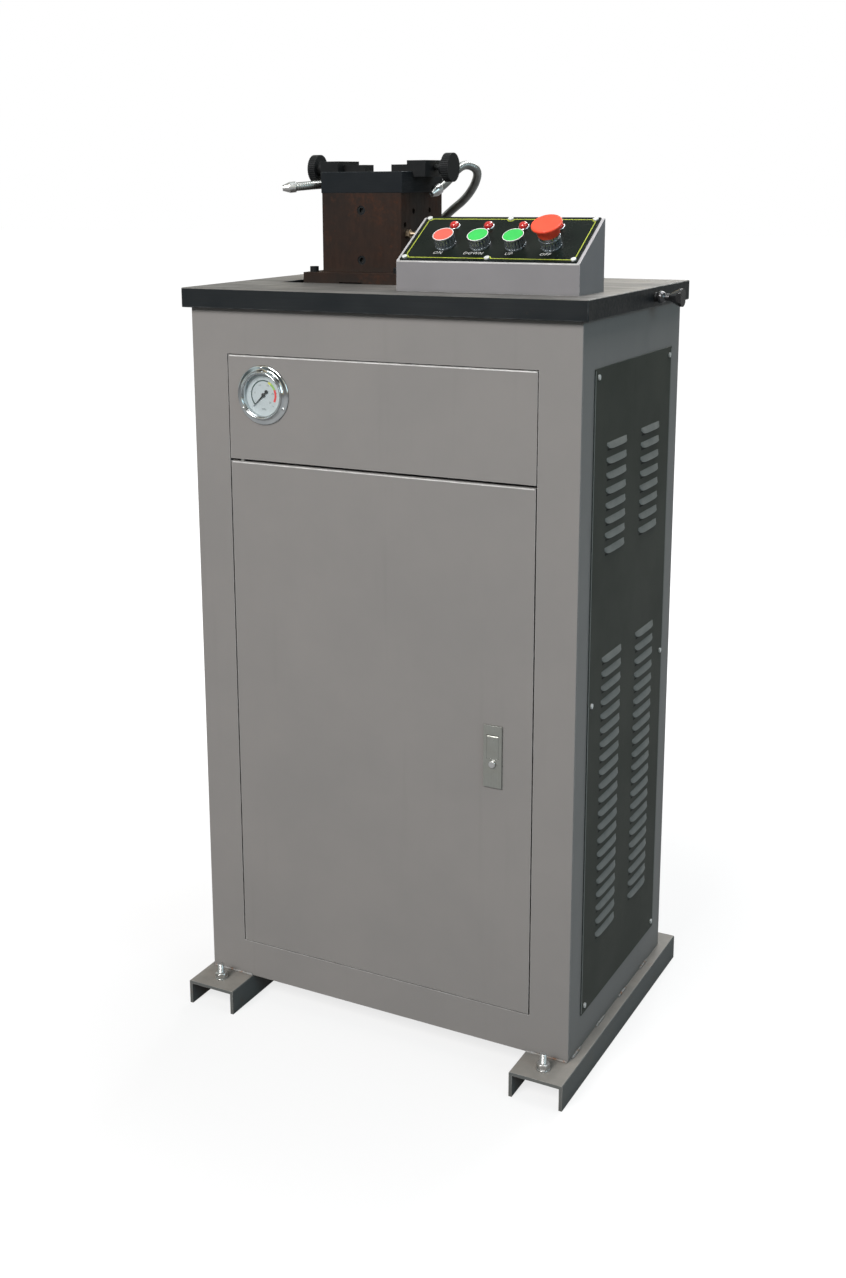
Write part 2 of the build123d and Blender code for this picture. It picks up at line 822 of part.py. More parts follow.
# screws of the head: standing on the base plate, sunk in the body's front and in the cap
front_seat_y = head_y - body_depth / 2 + counterbore_depth
front_screw_planes = [Plane(origin=(head_x, front_seat_y, base_z + height), x_dir=(1, 0, 0), z_dir=(0, -1, 0))
                      for height in front_screw_heights]
cap_screw_seat = cap_z - counterbore_depth
cap_screw_planes = [facing(head_x + side * cap_screw_x, head_y + end * cap_screw_y,
                           cap_screw_seat, (0, 0, 1))
                    for side in (-1, 1) for end in (-1, 1)]
cap_screw_shank = cap_height - counterbore_depth + socket_shank_length
with BuildPart() as head_screws:
    for screw_plane in base_screw_planes:
        socket_screw(screw_plane, base_screw_shank)
    for screw_plane in front_screw_planes:
        socket_screw(screw_plane, socket_shank_length)
    for screw_plane in cap_screw_planes:
        socket_screw(screw_plane, cap_screw_shank)
head_screws.part.label = "head_screws"
export_step(head_screws.part, "parts/head_screws.step")

# head body, with the broach's channel through it
with BuildPart() as head_body:
    block(head_x - body_width / 2, head_x + body_width / 2, head_y - body_depth / 2, head_y + body_depth / 2,
          base_z, body_z)
    chamfer(head_body.edges().filter_by(Axis.Z), head_edge)
    block(*opening_x, *opening_y, base_z, body_z, Mode.SUBTRACT)
    for screw_plane in front_screw_planes:
        disc(screw_plane, socket_screw_radius + head_clearance, counterbore_depth, Mode.SUBTRACT)
        disc(screw_plane, shank_hole, -socket_shank_length, Mode.SUBTRACT)
    for screw_plane in cap_screw_planes:
        disc(screw_plane, shank_hole, -cap_screw_shank, Mode.SUBTRACT)
    for hole_y, hole_height in side_holes:
        disc(facing(head_x + body_width / 2, hole_y, base_z + hole_height, (1, 0, 0)), side_hole_radius,
             -side_hole_depth, Mode.SUBTRACT)
head_body.part.label = "head_body"
export_step(head_body.part, "parts/head_body.step")

# head cap
broach_half_x = holder_half_x + broach_thickness
with BuildPart() as head_cap:
    block(head_x - cap_width / 2, head_x + cap_width / 2, head_y - body_depth / 2, head_y + body_depth / 2,
          body_z, cap_z)
    chamfer(head_cap.edges(), head_edge)
    block(head_x - broach_half_x - cap_opening_clearance, head_x + broach_half_x + cap_opening_clearance,
          head_y - holder_half_y - cap_opening_clearance, head_y + holder_half_y + cap_opening_clearance,
          body_z, cap_z, Mode.SUBTRACT)
    for screw_plane in cap_screw_planes:
        disc(screw_plane, socket_screw_radius + head_clearance, counterbore_depth, Mode.SUBTRACT)
        disc(screw_plane, shank_hole, -cap_screw_shank, Mode.SUBTRACT)
head_cap.part.label = "head_cap"
export_step(head_cap.part, "parts/head_cap.step")

# guide gibs: grooved bars that hold the holder's two edges
with BuildPart() as guide_gibs:
    for end in (-1, 1):
        lap = head_y + end * (holder_half_y - gib_lap)
        wall = head_y + end * channel_half_y
        groove = head_y + end * (holder_half_y + gib_clearance)
        block(*opening_x, *sorted((lap, wall)), base_z, body_z)
        block(head_x - holder_half_x - gib_clearance, head_x + holder_half_x + gib_clearance,
              *sorted((lap, groove)), base_z, body_z, Mode.SUBTRACT)
guide_gibs.part.label = "guide_gibs"
export_step(guide_gibs.part, "parts/guide_gibs.step")

# brass fitting on the body's right face
brass_plane = facing(head_x + body_width / 2, head_y - brass_forward, base_z + brass_height, (1, 0, 0))
with BuildPart() as brass_fitting:
    hexagon(brass_plane, brass_nut, brass_nut_height)
    disc(brass_plane, brass_tube_radius, brass_length)
    hexagon(brass_plane.offset(brass_length - brass_nut_height), brass_end_hex, brass_nut_height)
brass_fitting.part.label = "brass_fitting"
export_step(brass_fitting.part, "parts/brass_fitting.step")

# broach holder: a flat bar that slides in the gibs
holder_top = cap_z - holder_drop
holder_bottom = holder_top - holder_length
with BuildPart() as broach_holder:
    block(head_x - holder_half_x, head_x + holder_half_x, head_y - holder_half_y, head_y + holder_half_y,
          holder_bottom, holder_top)
    chamfer(broach_holder.faces().sort_by(Axis.Z)[-1].edges(), holder_edge)
broach_holder.part.label = "broach_holder"
export_step(broach_holder.part, "parts/broach_holder.step")

# the two broaches: a flat back with a toothed ridge, round-edged for U notches and sharp for V notches
broach_high = holder_top - broach_inset
broach_low = broach_high - broach_length
tooth_count = int(broach_length / tooth_pitch)


def broach(side, ridge_width, ridge_flat):
    seat = head_x + side * holder_half_x
    ridge = seat + side * broach_back
    tip = seat + side * broach_thickness
    block(*sorted((seat, ridge)), head_y - broach_width / 2, head_y + broach_width / 2,
          broach_low, broach_high)
    with BuildSketch(Plane.XY.offset(broach_low)) as plan:
        with BuildLine():
            Polyline((ridge, head_y - ridge_width / 2), (ridge, head_y + ridge_width / 2),
                     (tip, head_y + ridge_flat / 2), (tip, head_y - ridge_flat / 2), close=True)
        make_face()
    extrude(plan.sketch, amount=broach_length)
    gullet_plane = Plane(origin=(0, head_y - ridge_width / 2, 0), x_dir=(1, 0, 0), z_dir=(0, -1, 0))
    with BuildSketch(gullet_plane) as gullets:
        for tooth in range(tooth_count):
            root = broach_low + tooth * tooth_pitch
            with BuildLine():
                Polyline((tip, root), (tip, root + tooth_rise), (ridge, root), close=True)
            make_face()
    extrude(gullets.sketch, amount=-ridge_width, mode=Mode.SUBTRACT)


with BuildPart() as u_broach:
    broach(-1, u_ridge_width, u_ridge_flat)
u_broach.part.label = "u_broach"
export_step(u_broach.part, "parts/u_broach.step")

with BuildPart() as v_broach:
    broach(1, v_ridge_width, v_ridge_flat)
v_broach.part.label = "v_broach"
export_step(v_broach.part, "parts/v_broach.step")

# cylinder frame: a plate hung from the table on four columns
cylinder_plate_top = holder_bottom - cylinder_gap
barrel_top = cylinder_plate_top - cylinder_plate_thickness
cavity_top = barrel_top - barrel_end
cavity_bottom = cavity_top - stroke - piston_height - 2 * piston_end_gap
barrel_bottom = cavity_bottom - barrel_end
barrel_radius = piston_radius + running_clearance + barrel_wall
with BuildPart() as cylinder_frame:
    block(head_x - cylinder_plate_half, head_x + cylinder_plate_half, head_y - cylinder_plate_half,
          head_y + cylinder_plate_half, barrel_top, cylinder_plate_top)
    disc(facing(head_x, head_y, barrel_top, (0, 0, 1)), rod_radius + rod_plate_clearance,
         cylinder_plate_thickness, Mode.SUBTRACT)
    for x_side in (-1, 1):
        for y_side in (-1, 1):
            column_x = head_x + x_side * column_offset
            column_y = head_y + y_side * column_offset
            disc(facing(column_x, column_y, cylinder_plate_top, (0, 0, 1)), column_radius,
                 cabinet_top - cylinder_plate_top)
cylinder_frame.part.label = "cylinder_frame"
export_step(cylinder_frame.part, "parts/cylinder_frame.step")

# cylinder barrel with both ends and its two ports
port_levels = (cavity_bottom + port_inset, cavity_top - port_inset)
port_end = head_x + barrel_radius + port_length
with BuildPart() as cylinder_barrel:
    disc(facing(head_x, head_y, barrel_bottom, (0, 0, 1)), barrel_radius, barrel_top - barrel_bottom)
    for level in port_levels:
        disc(facing(head_x, head_y, level, (1, 0, 0)), port_radius, port_end - head_x)
    disc(facing(head_x, head_y, cavity_bottom, (0, 0, 1)), piston_radius + running_clearance,
         cavity_top - cavity_bottom, Mode.SUBTRACT)
    for level in port_levels:
        disc(facing(head_x, head_y, level, (1, 0, 0)), port_bore, port_end - head_x, Mode.SUBTRACT)
    disc(facing(head_x, head_y, cavity_top, (0, 0, 1)), rod_radius + running_clearance,
         barrel_end, Mode.SUBTRACT)
cylinder_barrel.part.label = "cylinder_barrel"
export_step(cylinder_barrel.part, "parts/cylinder_barrel.step")

# piston rod, with its piston at the bottom of the barrel
piston_bottom = cavity_bottom + piston_end_gap
with BuildPart() as piston_rod:
    disc(facing(head_x, head_y, piston_bottom, (0, 0, 1)), piston_radius, piston_height)
    disc(facing(head_x, head_y, piston_bottom, (0, 0, 1)), rod_radius, holder_bottom - piston_bottom)
piston_rod.part.label = "piston_rod"
export_step(piston_rod.part, "parts/piston_rod.step")

# clamps: a bracket bridging each jaw, hooked over the cap's edge, and a screw that drives the jaw
clamp_axis_z = cap_z + clamp_axis_rise
jaw_inner = jaw_gap / 2
jaw_outer = jaw_inner + jaw_length
tunnel_end = bracket_outer - bracket_wall


def across(side, near, far):
    return sorted((head_x + side * near, head_x + side * far))


with BuildPart() as clamp_brackets:
    for side in (-1, 1):
        block(*across(side, bracket_inner, bracket_outer),
              head_y - bracket_depth / 2, head_y + bracket_depth / 2, cap_z, cap_z + bracket_rise)
        block(*across(side, cap_width / 2 + bracket_cap_gap, bracket_outer),
              head_y - bracket_depth / 2, head_y + bracket_depth / 2, cap_z - bracket_drop, cap_z)
        block(*across(side, bracket_inner, tunnel_end),
              head_y - jaw_depth / 2 - jaw_clearance, head_y + jaw_depth / 2 + jaw_clearance,
              cap_z, cap_z + jaw_height + jaw_clearance, Mode.SUBTRACT)
        disc(facing(head_x + side * tunnel_end, head_y, clamp_axis_z, (side, 0, 0)),
             clamp_screw_radius + running_clearance, bracket_wall, Mode.SUBTRACT)
clamp_brackets.part.label = "clamp_brackets"
export_step(clamp_brackets.part, "parts/clamp_brackets.step")


def jaw(side):
    block(*across(side, jaw_inner, jaw_outer), head_y - jaw_depth / 2, head_y + jaw_depth / 2,
          cap_z, cap_z + jaw_height)
    disc(facing(head_x + side * jaw_outer, head_y, clamp_axis_z, (side, 0, 0)),
         clamp_nose_radius + running_clearance, -clamp_nose_reach, Mode.SUBTRACT)


with BuildPart() as left_jaw:
    jaw(-1)
left_jaw.part.label = "left_jaw"
export_step(left_jaw.part, "parts/left_jaw.step")

with BuildPart() as right_jaw:
    jaw(1)
right_jaw.part.label = "right_jaw"
export_step(right_jaw.part, "parts/right_jaw.step")


def clamp_screw(side):
    nose_start = jaw_outer - clamp_nose_reach
    nose = facing(head_x + side * nose_start, head_y, clamp_axis_z, (side, 0, 0))
    disc(nose, clamp_nose_radius, clamp_nose_length)
    disc(nose.offset(clamp_nose_length), clamp_screw_radius, knob_inner - nose_start - clamp_nose_length)
    disc(nose.offset(knob_inner - nose_start), knob_hub_radius, -knob_hub_length)
    with BuildSketch(nose.offset(knob_inner - nose_start)) as outline:
        Circle(knob_radius)
        with PolarLocations(knob_radius, knob_flutes):
            Circle(knob_flute_depth, mode=Mode.SUBTRACT)
    extrude(outline.sketch, amount=knob_thickness)


with BuildPart() as left_clamp_screw:
    clamp_screw(-1)
left_clamp_screw.part.label = "left_clamp_screw"
export_step(left_clamp_screw.part, "parts/left_clamp_screw.step")

with BuildPart() as right_clamp_screw:
    clamp_screw(1)
right_clamp_screw.part.label = "right_clamp_screw"
export_step(right_clamp_screw.part, "parts/right_clamp_screw.step")

# console: a sloping housing on the table, open underneath
button_columns = [console_width / 2 + button_shift + button_pitch * (step - 1.5) for step in range(4)]
lamp_columns = [column + lamp_shift for column in button_columns]
stem_hole = stem_radius + stem_clearance
lamp_hole = lamp_stem_radius + running_clearance


def console_holes(lift, depth):
    for column in button_columns:
        disc(on_slope(column, button_rise, lift), stem_hole, -depth, Mode.SUBTRACT)
    for column in lamp_columns:
        disc(on_slope(column, lamp_rise, lift), lamp_hole, -depth, Mode.SUBTRACT)
    for screw_plane in slope_screw_planes(lift):
        disc(screw_plane, hole_radius, -depth, Mode.SUBTRACT)


with BuildPart() as console_housing:
    side_view = Plane(origin=(console_left, 0, table_z), x_dir=(0, 1, 0), z_dir=(1, 0, 0))
    with BuildSketch(side_view) as outline:
        with BuildLine():
            Polyline((console_front, 0), (console_back, 0), (console_back, console_back_height),
                     (console_front, console_front_height), close=True)
        make_face()
    extrude(outline.sketch, amount=console_width)
    corners = console_housing.edges().filter_by(Axis.X).group_by(Axis.Z)[1:]
    for corner in corners:
        fillet(corner, console_corner)
    with BuildSketch(side_view.offset(console_wall)) as inside:
        with BuildLine():
            Polyline((console_front, 0), (console_back, 0), (console_back, console_back_height),
                     (console_front, console_front_height), close=True)
        make_face()
        offset(amount=-console_wall, kind=Kind.INTERSECTION)
    extrude(inside.sketch, amount=console_width - 2 * console_wall, mode=Mode.SUBTRACT)
    block(console_left + console_wall, console_left + console_width - console_wall,
          console_front + console_wall, console_back - console_wall,
          table_z, table_z + console_wall, Mode.SUBTRACT)
    console_holes(0, console_wall)
console_housing.part.label = "console_housing"
export_step(console_housing.part, "parts/console_housing.step")

# console plate, lying on the slope
with BuildPart() as console_plate:
    with BuildSketch(on_slope(console_width / 2, slope_length / 2)) as outline:
        RectangleRounded(plate_width, plate_height, plate_corner)
    extrude(outline.sketch, amount=plate_thickness)
    console_holes(plate_thickness, plate_thickness)
console_plate.part.label = "console_plate"
export_step(console_plate.part, "parts/console_plate.step")

# button bezels: four sleeves, the stop button's lower by its travel
cone_bottom = stop_height - stop_head_height - stop_cone_height
sleeve_heights = [bezel_height] * 3 + [cone_bottom - stop_travel - seat_gap]
with BuildPart() as button_bezels:
    for column, height in zip(button_columns, sleeve_heights):
        sleeve = on_slope(column, button_rise, plate_thickness)
        disc(sleeve, bezel_radius, height)
        disc(sleeve.offset(height), bezel_bore, bezel_floor - height, Mode.SUBTRACT)
        disc(sleeve, stem_hole, bezel_floor, Mode.SUBTRACT)
button_bezels.part.label = "button_bezels"
export_step(button_bezels.part, "parts/button_bezels.step")


# a push button is a flat cap in its sleeve, on a stem that goes through the housing
def push_button(column):
    top = on_slope(column, button_rise, plate_thickness + bezel_height)
    disc(top, button_radius, -button_cap_height)
    disc(top, stem_radius, -bezel_height - plate_thickness - console_wall - stem_depth)


with BuildPart() as pump_button:
    push_button(button_columns[0])
pump_button.part.label = "pump_button"
export_step(pump_button.part, "parts/pump_button.step")

with BuildPart() as cutting_button:
    push_button(button_columns[1])
cutting_button.part.label = "cutting_button"
export_step(cutting_button.part, "parts/cutting_button.step")

with BuildPart() as lifting_button:
    push_button(button_columns[2])
lifting_button.part.label = "lifting_button"
export_step(lifting_button.part, "parts/lifting_button.step")

# stop button: a thin round-edged head on a cone, with a collar that slides in the sleeve
with BuildPart() as stop_button:
    stop_top = on_slope(button_columns[3], button_rise, plate_thickness + stop_height)
    disc(stop_top, stop_radius, -stop_head_height)
    fillet(stop_button.faces().sort_by(Axis.Z)[-1].edges(), stop_head_round)
    with BuildSketch(stop_top.offset(-stop_head_height)) as wide:
        Circle(stop_cone_top)
    with BuildSketch(stop_top.offset(cone_bottom - stop_height)) as narrow:
        Circle(stop_cone_radius)
    loft([wide.sketch.face(), narrow.sketch.face()])
    disc(stop_top.offset(cone_bottom - stop_height), stop_collar_radius, -stop_collar_length)
    disc(stop_top.offset(cone_bottom - stop_height), stem_radius,
         -cone_bottom - plate_thickness - console_wall - stem_depth)
stop_button.part.label = "stop_button"
export_step(stop_button.part, "parts/stop_button.step")

# pilot lamps: domes on stems
with BuildPart() as pilot_lamps:
    for column in lamp_columns:
        disc(on_slope(column, lamp_rise, plate_thickness), lamp_radius, lamp_height)
    dome_level = plate_thickness + lamp_height
    tops = pilot_lamps.faces().filter_by(
        lambda face: (face.center() - slope_plane.origin).dot(slope_plane.z_dir) > dome_level - 0.01)
    fillet(tops.edges(), lamp_height - lamp_collar)
    for column in lamp_columns:
        disc(on_slope(column, lamp_rise, plate_thickness), lamp_stem_radius, -lamp_stem_length)
pilot_lamps.part.label = "pilot_lamps"
export_step(pilot_lamps.part, "parts/pilot_lamps.step")


# hoses: straight runs joined by tangent arcs, each as large as its two runs allow
def arc_radii(points):
    runs = [Vector(*end) - Vector(*start) for start, end in zip(points, points[1:])]
    radii = []
    for run_in, run_out in zip(runs, runs[1:]):
        half_turn = run_in.get_angle(run_out) / 2 * pi / 180
        radii.append(hose_arc_share * min(run_in.length, run_out.length) * cos(half_turn) / sin(half_turn))
    return radii


def near_head(*offsets):
    return [(head_x + across, head_y + along, table_z + up) for across, along, up in offsets]


coolant_pump_x = coolant_tank_right - coolant_pump_inset_x
coolant_pump_y = tank_front + coolant_pump_inset_y
supply_x = head_x + supply_offset
supply_z = cabinet_top - supply_drop
right_route = near_head(
    (23.3, 113, -table_thickness), (23.3, 113, 47.5), (34.3, 114, 78.5), (59.3, 113, 100.5),
    (85.3, 109, 117.5), (106.3, 101, 140.5), (115.3, 91, 161.5), (101.3, 74, 170.5), (93.3, 52, 157.5),
    (92.3, 32, 143.5), (88.3, 12, 134.5))
left_route = near_head(
    (-31.7, 113, -table_thickness), (-31.7, 113, 47.5), (-39.7, 113, 79.5), (-53.7, 108, 105.5),
    (-69.7, 92, 127.5), (-77.7, 62, 139.5), (-77.7, 25, 142.5), (-77.7, -15, 142), (-81.7, -42, 141.5),
    (-94.7, -61, 140), (-108.7, -70, 138.5))
supply_start = (coolant_pump_x + coolant_pump_radius / 2, coolant_pump_y,
                floor_z + coolant_tank_height + coolant_pump_flange + coolant_pump_height)
manifold_z = cabinet_top - manifold_height
supply_route = [supply_start, (supply_start[0], coolant_pump_y, supply_z),
                (supply_x, coolant_pump_y, supply_z), (supply_x, hose_root_y, supply_z),
                (hose_roots[1], hose_root_y, supply_z), (hose_roots[1], hose_root_y, manifold_z)]
# each bend is limited by the runs beside it, and a run between two bends leaves room for both
supply_last_run = manifold_z - supply_z - seat_gap
supply_half_run = min(abs(supply_x - supply_start[0]), abs(supply_x - hose_roots[1])) / 2 - seat_gap
with BuildPart() as coolant_hoses:
    for route in (right_route, left_route):
        bent_rod(route, arc_radii(route), hose_radius)
    bent_rod(supply_route, min(supply_bend, supply_last_run, supply_half_run), hose_radius)
coolant_hoses.part.label = "coolant_hoses"
export_step(coolant_hoses.part, "parts/coolant_hoses.step")


# nozzle: a barrel and a cone at the end of a route, bored through the tip
def nozzle(route):
    end = Vector(*route[-1])
    direction = (end - Vector(*route[-2])).normalized()
    mouth = Plane(origin=end, z_dir=direction)
    disc(mouth, nozzle_radius, nozzle_barrel)
    cone_start = mouth.offset(nozzle_barrel)
    with BuildSketch(cone_start) as wide:
        Circle(nozzle_radius)
    with BuildSketch(cone_start.offset(nozzle_cone)) as narrow:
        Circle(nozzle_tip_radius)
    loft([wide.sketch.face(), narrow.sketch.face()])
    disc(mouth.offset(nozzle_barrel + nozzle_cone), nozzle_bore, -nozzle_cone, Mode.SUBTRACT)


# coolant fittings: the two nozzles, a collar at each hose's foot and the manifold under the table
with BuildPart() as coolant_fittings:
    for route in (right_route, left_route):
        nozzle(route)
    for root_x in hose_roots:
        foot = facing(root_x, hose_root_y, table_z, (0, 0, 1))
        hexagon(foot, collar_across_flats, collar_height)
        disc(foot, hose_radius + running_clearance, collar_height, Mode.SUBTRACT)
    block(min(hose_roots) - manifold_overlap, max(hose_roots) + manifold_overlap,
          hose_root_y - manifold_half_depth, hose_root_y + manifold_half_depth, manifold_z, cabinet_top)
coolant_fittings.part.label = "coolant_fittings"
export_step(coolant_fittings.part, "parts/coolant_fittings.step")

# coolant cock on the table's right edge: a ball body with a spindle, and its flared handle
tap_y = back - tap_inset
tap_plane = facing(half_width + table_overhang, tap_y, table_z - table_thickness / 2, (1, 0, 0))
with BuildPart() as tap_body:
    disc(tap_plane, tap_boss_radius, tap_ball_radius)
    with Locations(tap_plane.offset(tap_ball_radius)):
        Sphere(tap_ball_radius)
    disc(tap_plane, tap_neck_radius, tap_neck_length)
    disc(tap_plane, tap_spindle_radius, tap_spindle_length)
    block(half_width, half_width + table_overhang, tap_y - tap_ball_radius, tap_y + tap_ball_radius,
          cabinet_top, table_z, Mode.SUBTRACT)
tap_body.part.label = "tap_body"
export_step(tap_body.part, "parts/tap_body.step")

tap_end = half_width + table_overhang + tap_length
with BuildPart() as tap_handle:
    flare_start = tap_neck_length + seat_gap
    with BuildSketch(tap_plane.offset(flare_start)) as narrow:
        Circle(tap_neck_radius)
    with BuildSketch(tap_plane.offset(tap_length - tap_handle_rim)) as wide:
        Circle(tap_handle_radius)
    loft([narrow.sketch.face(), wide.sketch.face()])
    disc(tap_plane.offset(tap_length), tap_handle_radius, -tap_handle_rim)
    disc(tap_plane.offset(flare_start), tap_spindle_radius + running_clearance,
         tap_spindle_length - flare_start + seat_gap, Mode.SUBTRACT)
    for y_side in (-1, 1):
        notch_y = tap_y + y_side * tap_handle_radius
        block(tap_end - tap_slot_depth, tap_end,
              notch_y - tap_slot / 2, notch_y + tap_slot / 2,
              table_z - table_thickness, table_z, Mode.SUBTRACT)
tap_handle.part.label = "tap_handle"
export_step(tap_handle.part, "parts/tap_handle.step")

# oil tank, open at the top, and the lid that carries the hydraulic unit
oil_tank_right = half_width - sheet - oil_tank_side_gap
oil_tank_top = floor_z + oil_tank_height
lid_top = oil_tank_top + tank_lid_thickness
with BuildPart() as oil_tank:
    block(oil_tank_left, oil_tank_right, tank_front, tank_back, floor_z, oil_tank_top)
    block(oil_tank_left + tank_wall, oil_tank_right - tank_wall,
          tank_front + tank_wall, tank_back - tank_wall, floor_z + tank_wall, oil_tank_top, Mode.SUBTRACT)
oil_tank.part.label = "oil_tank"
export_step(oil_tank.part, "parts/oil_tank.step")

motor_x = oil_tank_right - motor_inset
motor_y = head_y - motor_forward
shaft_bore = shaft_radius + running_clearance
with BuildPart() as tank_lid:
    block(oil_tank_left, oil_tank_right, tank_front, tank_back, oil_tank_top, lid_top)
    disc(facing(motor_x, motor_y, oil_tank_top, (0, 0, 1)), shaft_bore, tank_lid_thickness, Mode.SUBTRACT)
tank_lid.part.label = "tank_lid"
export_step(tank_lid.part, "parts/tank_lid.step")

# gear pump, hanging in the oil from the lid
with BuildPart() as gear_pump:
    block(motor_x - pump_half, motor_x + pump_half, motor_y - pump_half, motor_y + pump_half,
          oil_tank_top - pump_height, oil_tank_top)
    disc(facing(motor_x, motor_y, oil_tank_top, (0, 0, 1)), shaft_bore, -pump_bore_depth, Mode.SUBTRACT)
gear_pump.part.label = "gear_pump"
export_step(gear_pump.part, "parts/gear_pump.step")

# electric motor: finned housing with end shields, and a cowl over the fan
motor_base = facing(motor_x, motor_y, lid_top, (0, 0, 1))
with BuildPart() as motor_housing:
    with BuildSketch(motor_base) as outline:
        Circle(motor_radius - fin_height)
        with PolarLocations(motor_radius - (fin_height + fin_root) / 2, motor_fins):
            Rectangle(fin_height + fin_root, fin_width)
    extrude(outline.sketch, amount=motor_height)
    disc(motor_base, motor_radius, end_shield)
    disc(motor_base.offset(motor_height), motor_radius, fan_cowl_height)
    disc(motor_base.offset(motor_height - end_shield), motor_radius - fin_height - motor_wall,
         2 * end_shield - motor_height, Mode.SUBTRACT)
    disc(motor_base.offset(motor_height), motor_radius - sheet, fan_cowl_height - sheet, Mode.SUBTRACT)
    disc(motor_base, shaft_bore, motor_height, Mode.SUBTRACT)
    with BuildSketch(motor_base.offset(motor_height + fan_cowl_height)) as grille:
        for ring_radius in cowl_rings:
            with PolarLocations(ring_radius, int(2 * pi * ring_radius / cowl_hole_spacing)):
                Circle(cowl_hole_radius)
    extrude(grille.sketch, amount=-sheet, mode=Mode.SUBTRACT)
motor_housing.part.label = "motor_housing"
export_step(motor_housing.part, "parts/motor_housing.step")

# motor rotor: shaft, core and fan in one
with BuildPart() as motor_rotor:
    disc(motor_base.offset(-tank_lid_thickness - pump_bore_depth + sheet), shaft_radius,
         tank_lid_thickness + pump_bore_depth - sheet + motor_height + fan_cowl_height / 2)
    disc(motor_base.offset((motor_height - rotor_length) / 2), rotor_radius, rotor_length)
    with BuildSketch(motor_base.offset(motor_height + fan_rise)) as blades:
        Circle(fan_hub_radius)
        with PolarLocations(fan_radius / 2, fan_blades):
            Rectangle(fan_radius, fin_width)
    extrude(blades.sketch, amount=fan_thickness)
motor_rotor.part.label = "motor_rotor"
export_step(motor_rotor.part, "parts/motor_rotor.step")

# valve block with two solenoids facing the door
valve_left = oil_tank_left + valve_inset
valve_right = valve_left + valve_width
valve_y = head_y - valve_forward
valve_front = valve_y - valve_half_depth
valve_top = lid_top + valve_height
with BuildPart() as valve_block:
    block(valve_left, valve_right, valve_front, valve_y + valve_half_depth, lid_top, valve_top)
    for solenoid_side in (-1, 1):
        solenoid_x = (valve_left + valve_right + solenoid_side * solenoid_spread) / 2
        disc(facing(solenoid_x, valve_front, lid_top + valve_height / 2, (0, -1, 0)),
             solenoid_radius, solenoid_length)
valve_block.part.label = "valve_block"
export_step(valve_block.part, "parts/valve_block.step")

# hydraulic pipes: pump to valve, and valve to the two ports of the cylinder
stub_x = valve_right + stub_gap
stub_y = head_y - stub_forward
stub_top = lid_top + pipe_stub
with BuildPart() as hydraulic_pipes:
    for column, level in zip(pipe_columns, port_levels):
        pipe_x = valve_left + column
        pipe_route = [(pipe_x, head_y, valve_top), (pipe_x, head_y, level), (port_end, head_y, level)]
        bent_rod(pipe_route, pipe_bend, pipe_radius)
    stub_route = [(stub_x, stub_y, lid_top), (stub_x, stub_y, stub_top), (valve_right, stub_y, stub_top)]
    bent_rod(stub_route, stub_bend, pipe_radius)
hydraulic_pipes.part.label = "hydraulic_pipes"
export_step(hydraulic_pipes.part, "parts/hydraulic_pipes.step")

# coolant tank, closed on top but for the hole that the chip chute drains into
chute_plane = facing(chip_slot_x, chip_slot_y, 0, (0, 0, 1))
coolant_tank_left = sheet + tank_side_gap - half_width
coolant_tank_top = floor_z + coolant_tank_height
with BuildPart() as coolant_tank:
    block(coolant_tank_left, coolant_tank_right, tank_front, tank_back, floor_z, coolant_tank_top)
    block(coolant_tank_left + tank_wall, coolant_tank_right - tank_wall, tank_front + tank_wall,
          tank_back - tank_wall, floor_z + tank_wall, coolant_tank_top - tank_wall, Mode.SUBTRACT)
    disc(chute_plane.offset(coolant_tank_top), chute_pipe_radius - chute_wall, -tank_wall, Mode.SUBTRACT)
coolant_tank.part.label = "coolant_tank"
export_step(coolant_tank.part, "parts/coolant_tank.step")

# coolant pump, standing on the coolant tank
pump_plane = facing(coolant_pump_x, coolant_pump_y, coolant_tank_top, (0, 0, 1))
with BuildPart() as coolant_pump:
    disc(pump_plane, coolant_pump_radius + coolant_pump_flange, coolant_pump_flange)
    disc(pump_plane.offset(coolant_pump_flange), coolant_pump_radius, coolant_pump_height)
    fillet(coolant_pump.faces().sort_by(Axis.Z)[-1].edges(), coolant_pump_round)
coolant_pump.part.label = "coolant_pump"
export_step(coolant_pump.part, "parts/coolant_pump.step")

# chip chute: a hopper under the table's slot and a pipe down to the coolant tank
hopper_bottom = cabinet_top - chute_hopper_height
with BuildPart() as chip_chute:
    block(chip_slot_left - chute_wall, chip_slot_right + chute_wall, chip_slot_front - chute_wall,
          chip_slot_back + chute_wall, hopper_bottom, cabinet_top)
    disc(chute_plane.offset(coolant_tank_top), chute_pipe_radius, hopper_bottom - coolant_tank_top)
    block(chip_slot_left, chip_slot_right, chip_slot_front, chip_slot_back, hopper_bottom + chute_floor,
          cabinet_top, Mode.SUBTRACT)
    disc(chute_plane.offset(coolant_tank_top), chute_pipe_radius - chute_wall,
         hopper_bottom + chute_floor - coolant_tank_top, Mode.SUBTRACT)
chip_chute.part.label = "chip_chute"
export_step(chip_chute.part, "parts/chip_chute.step")

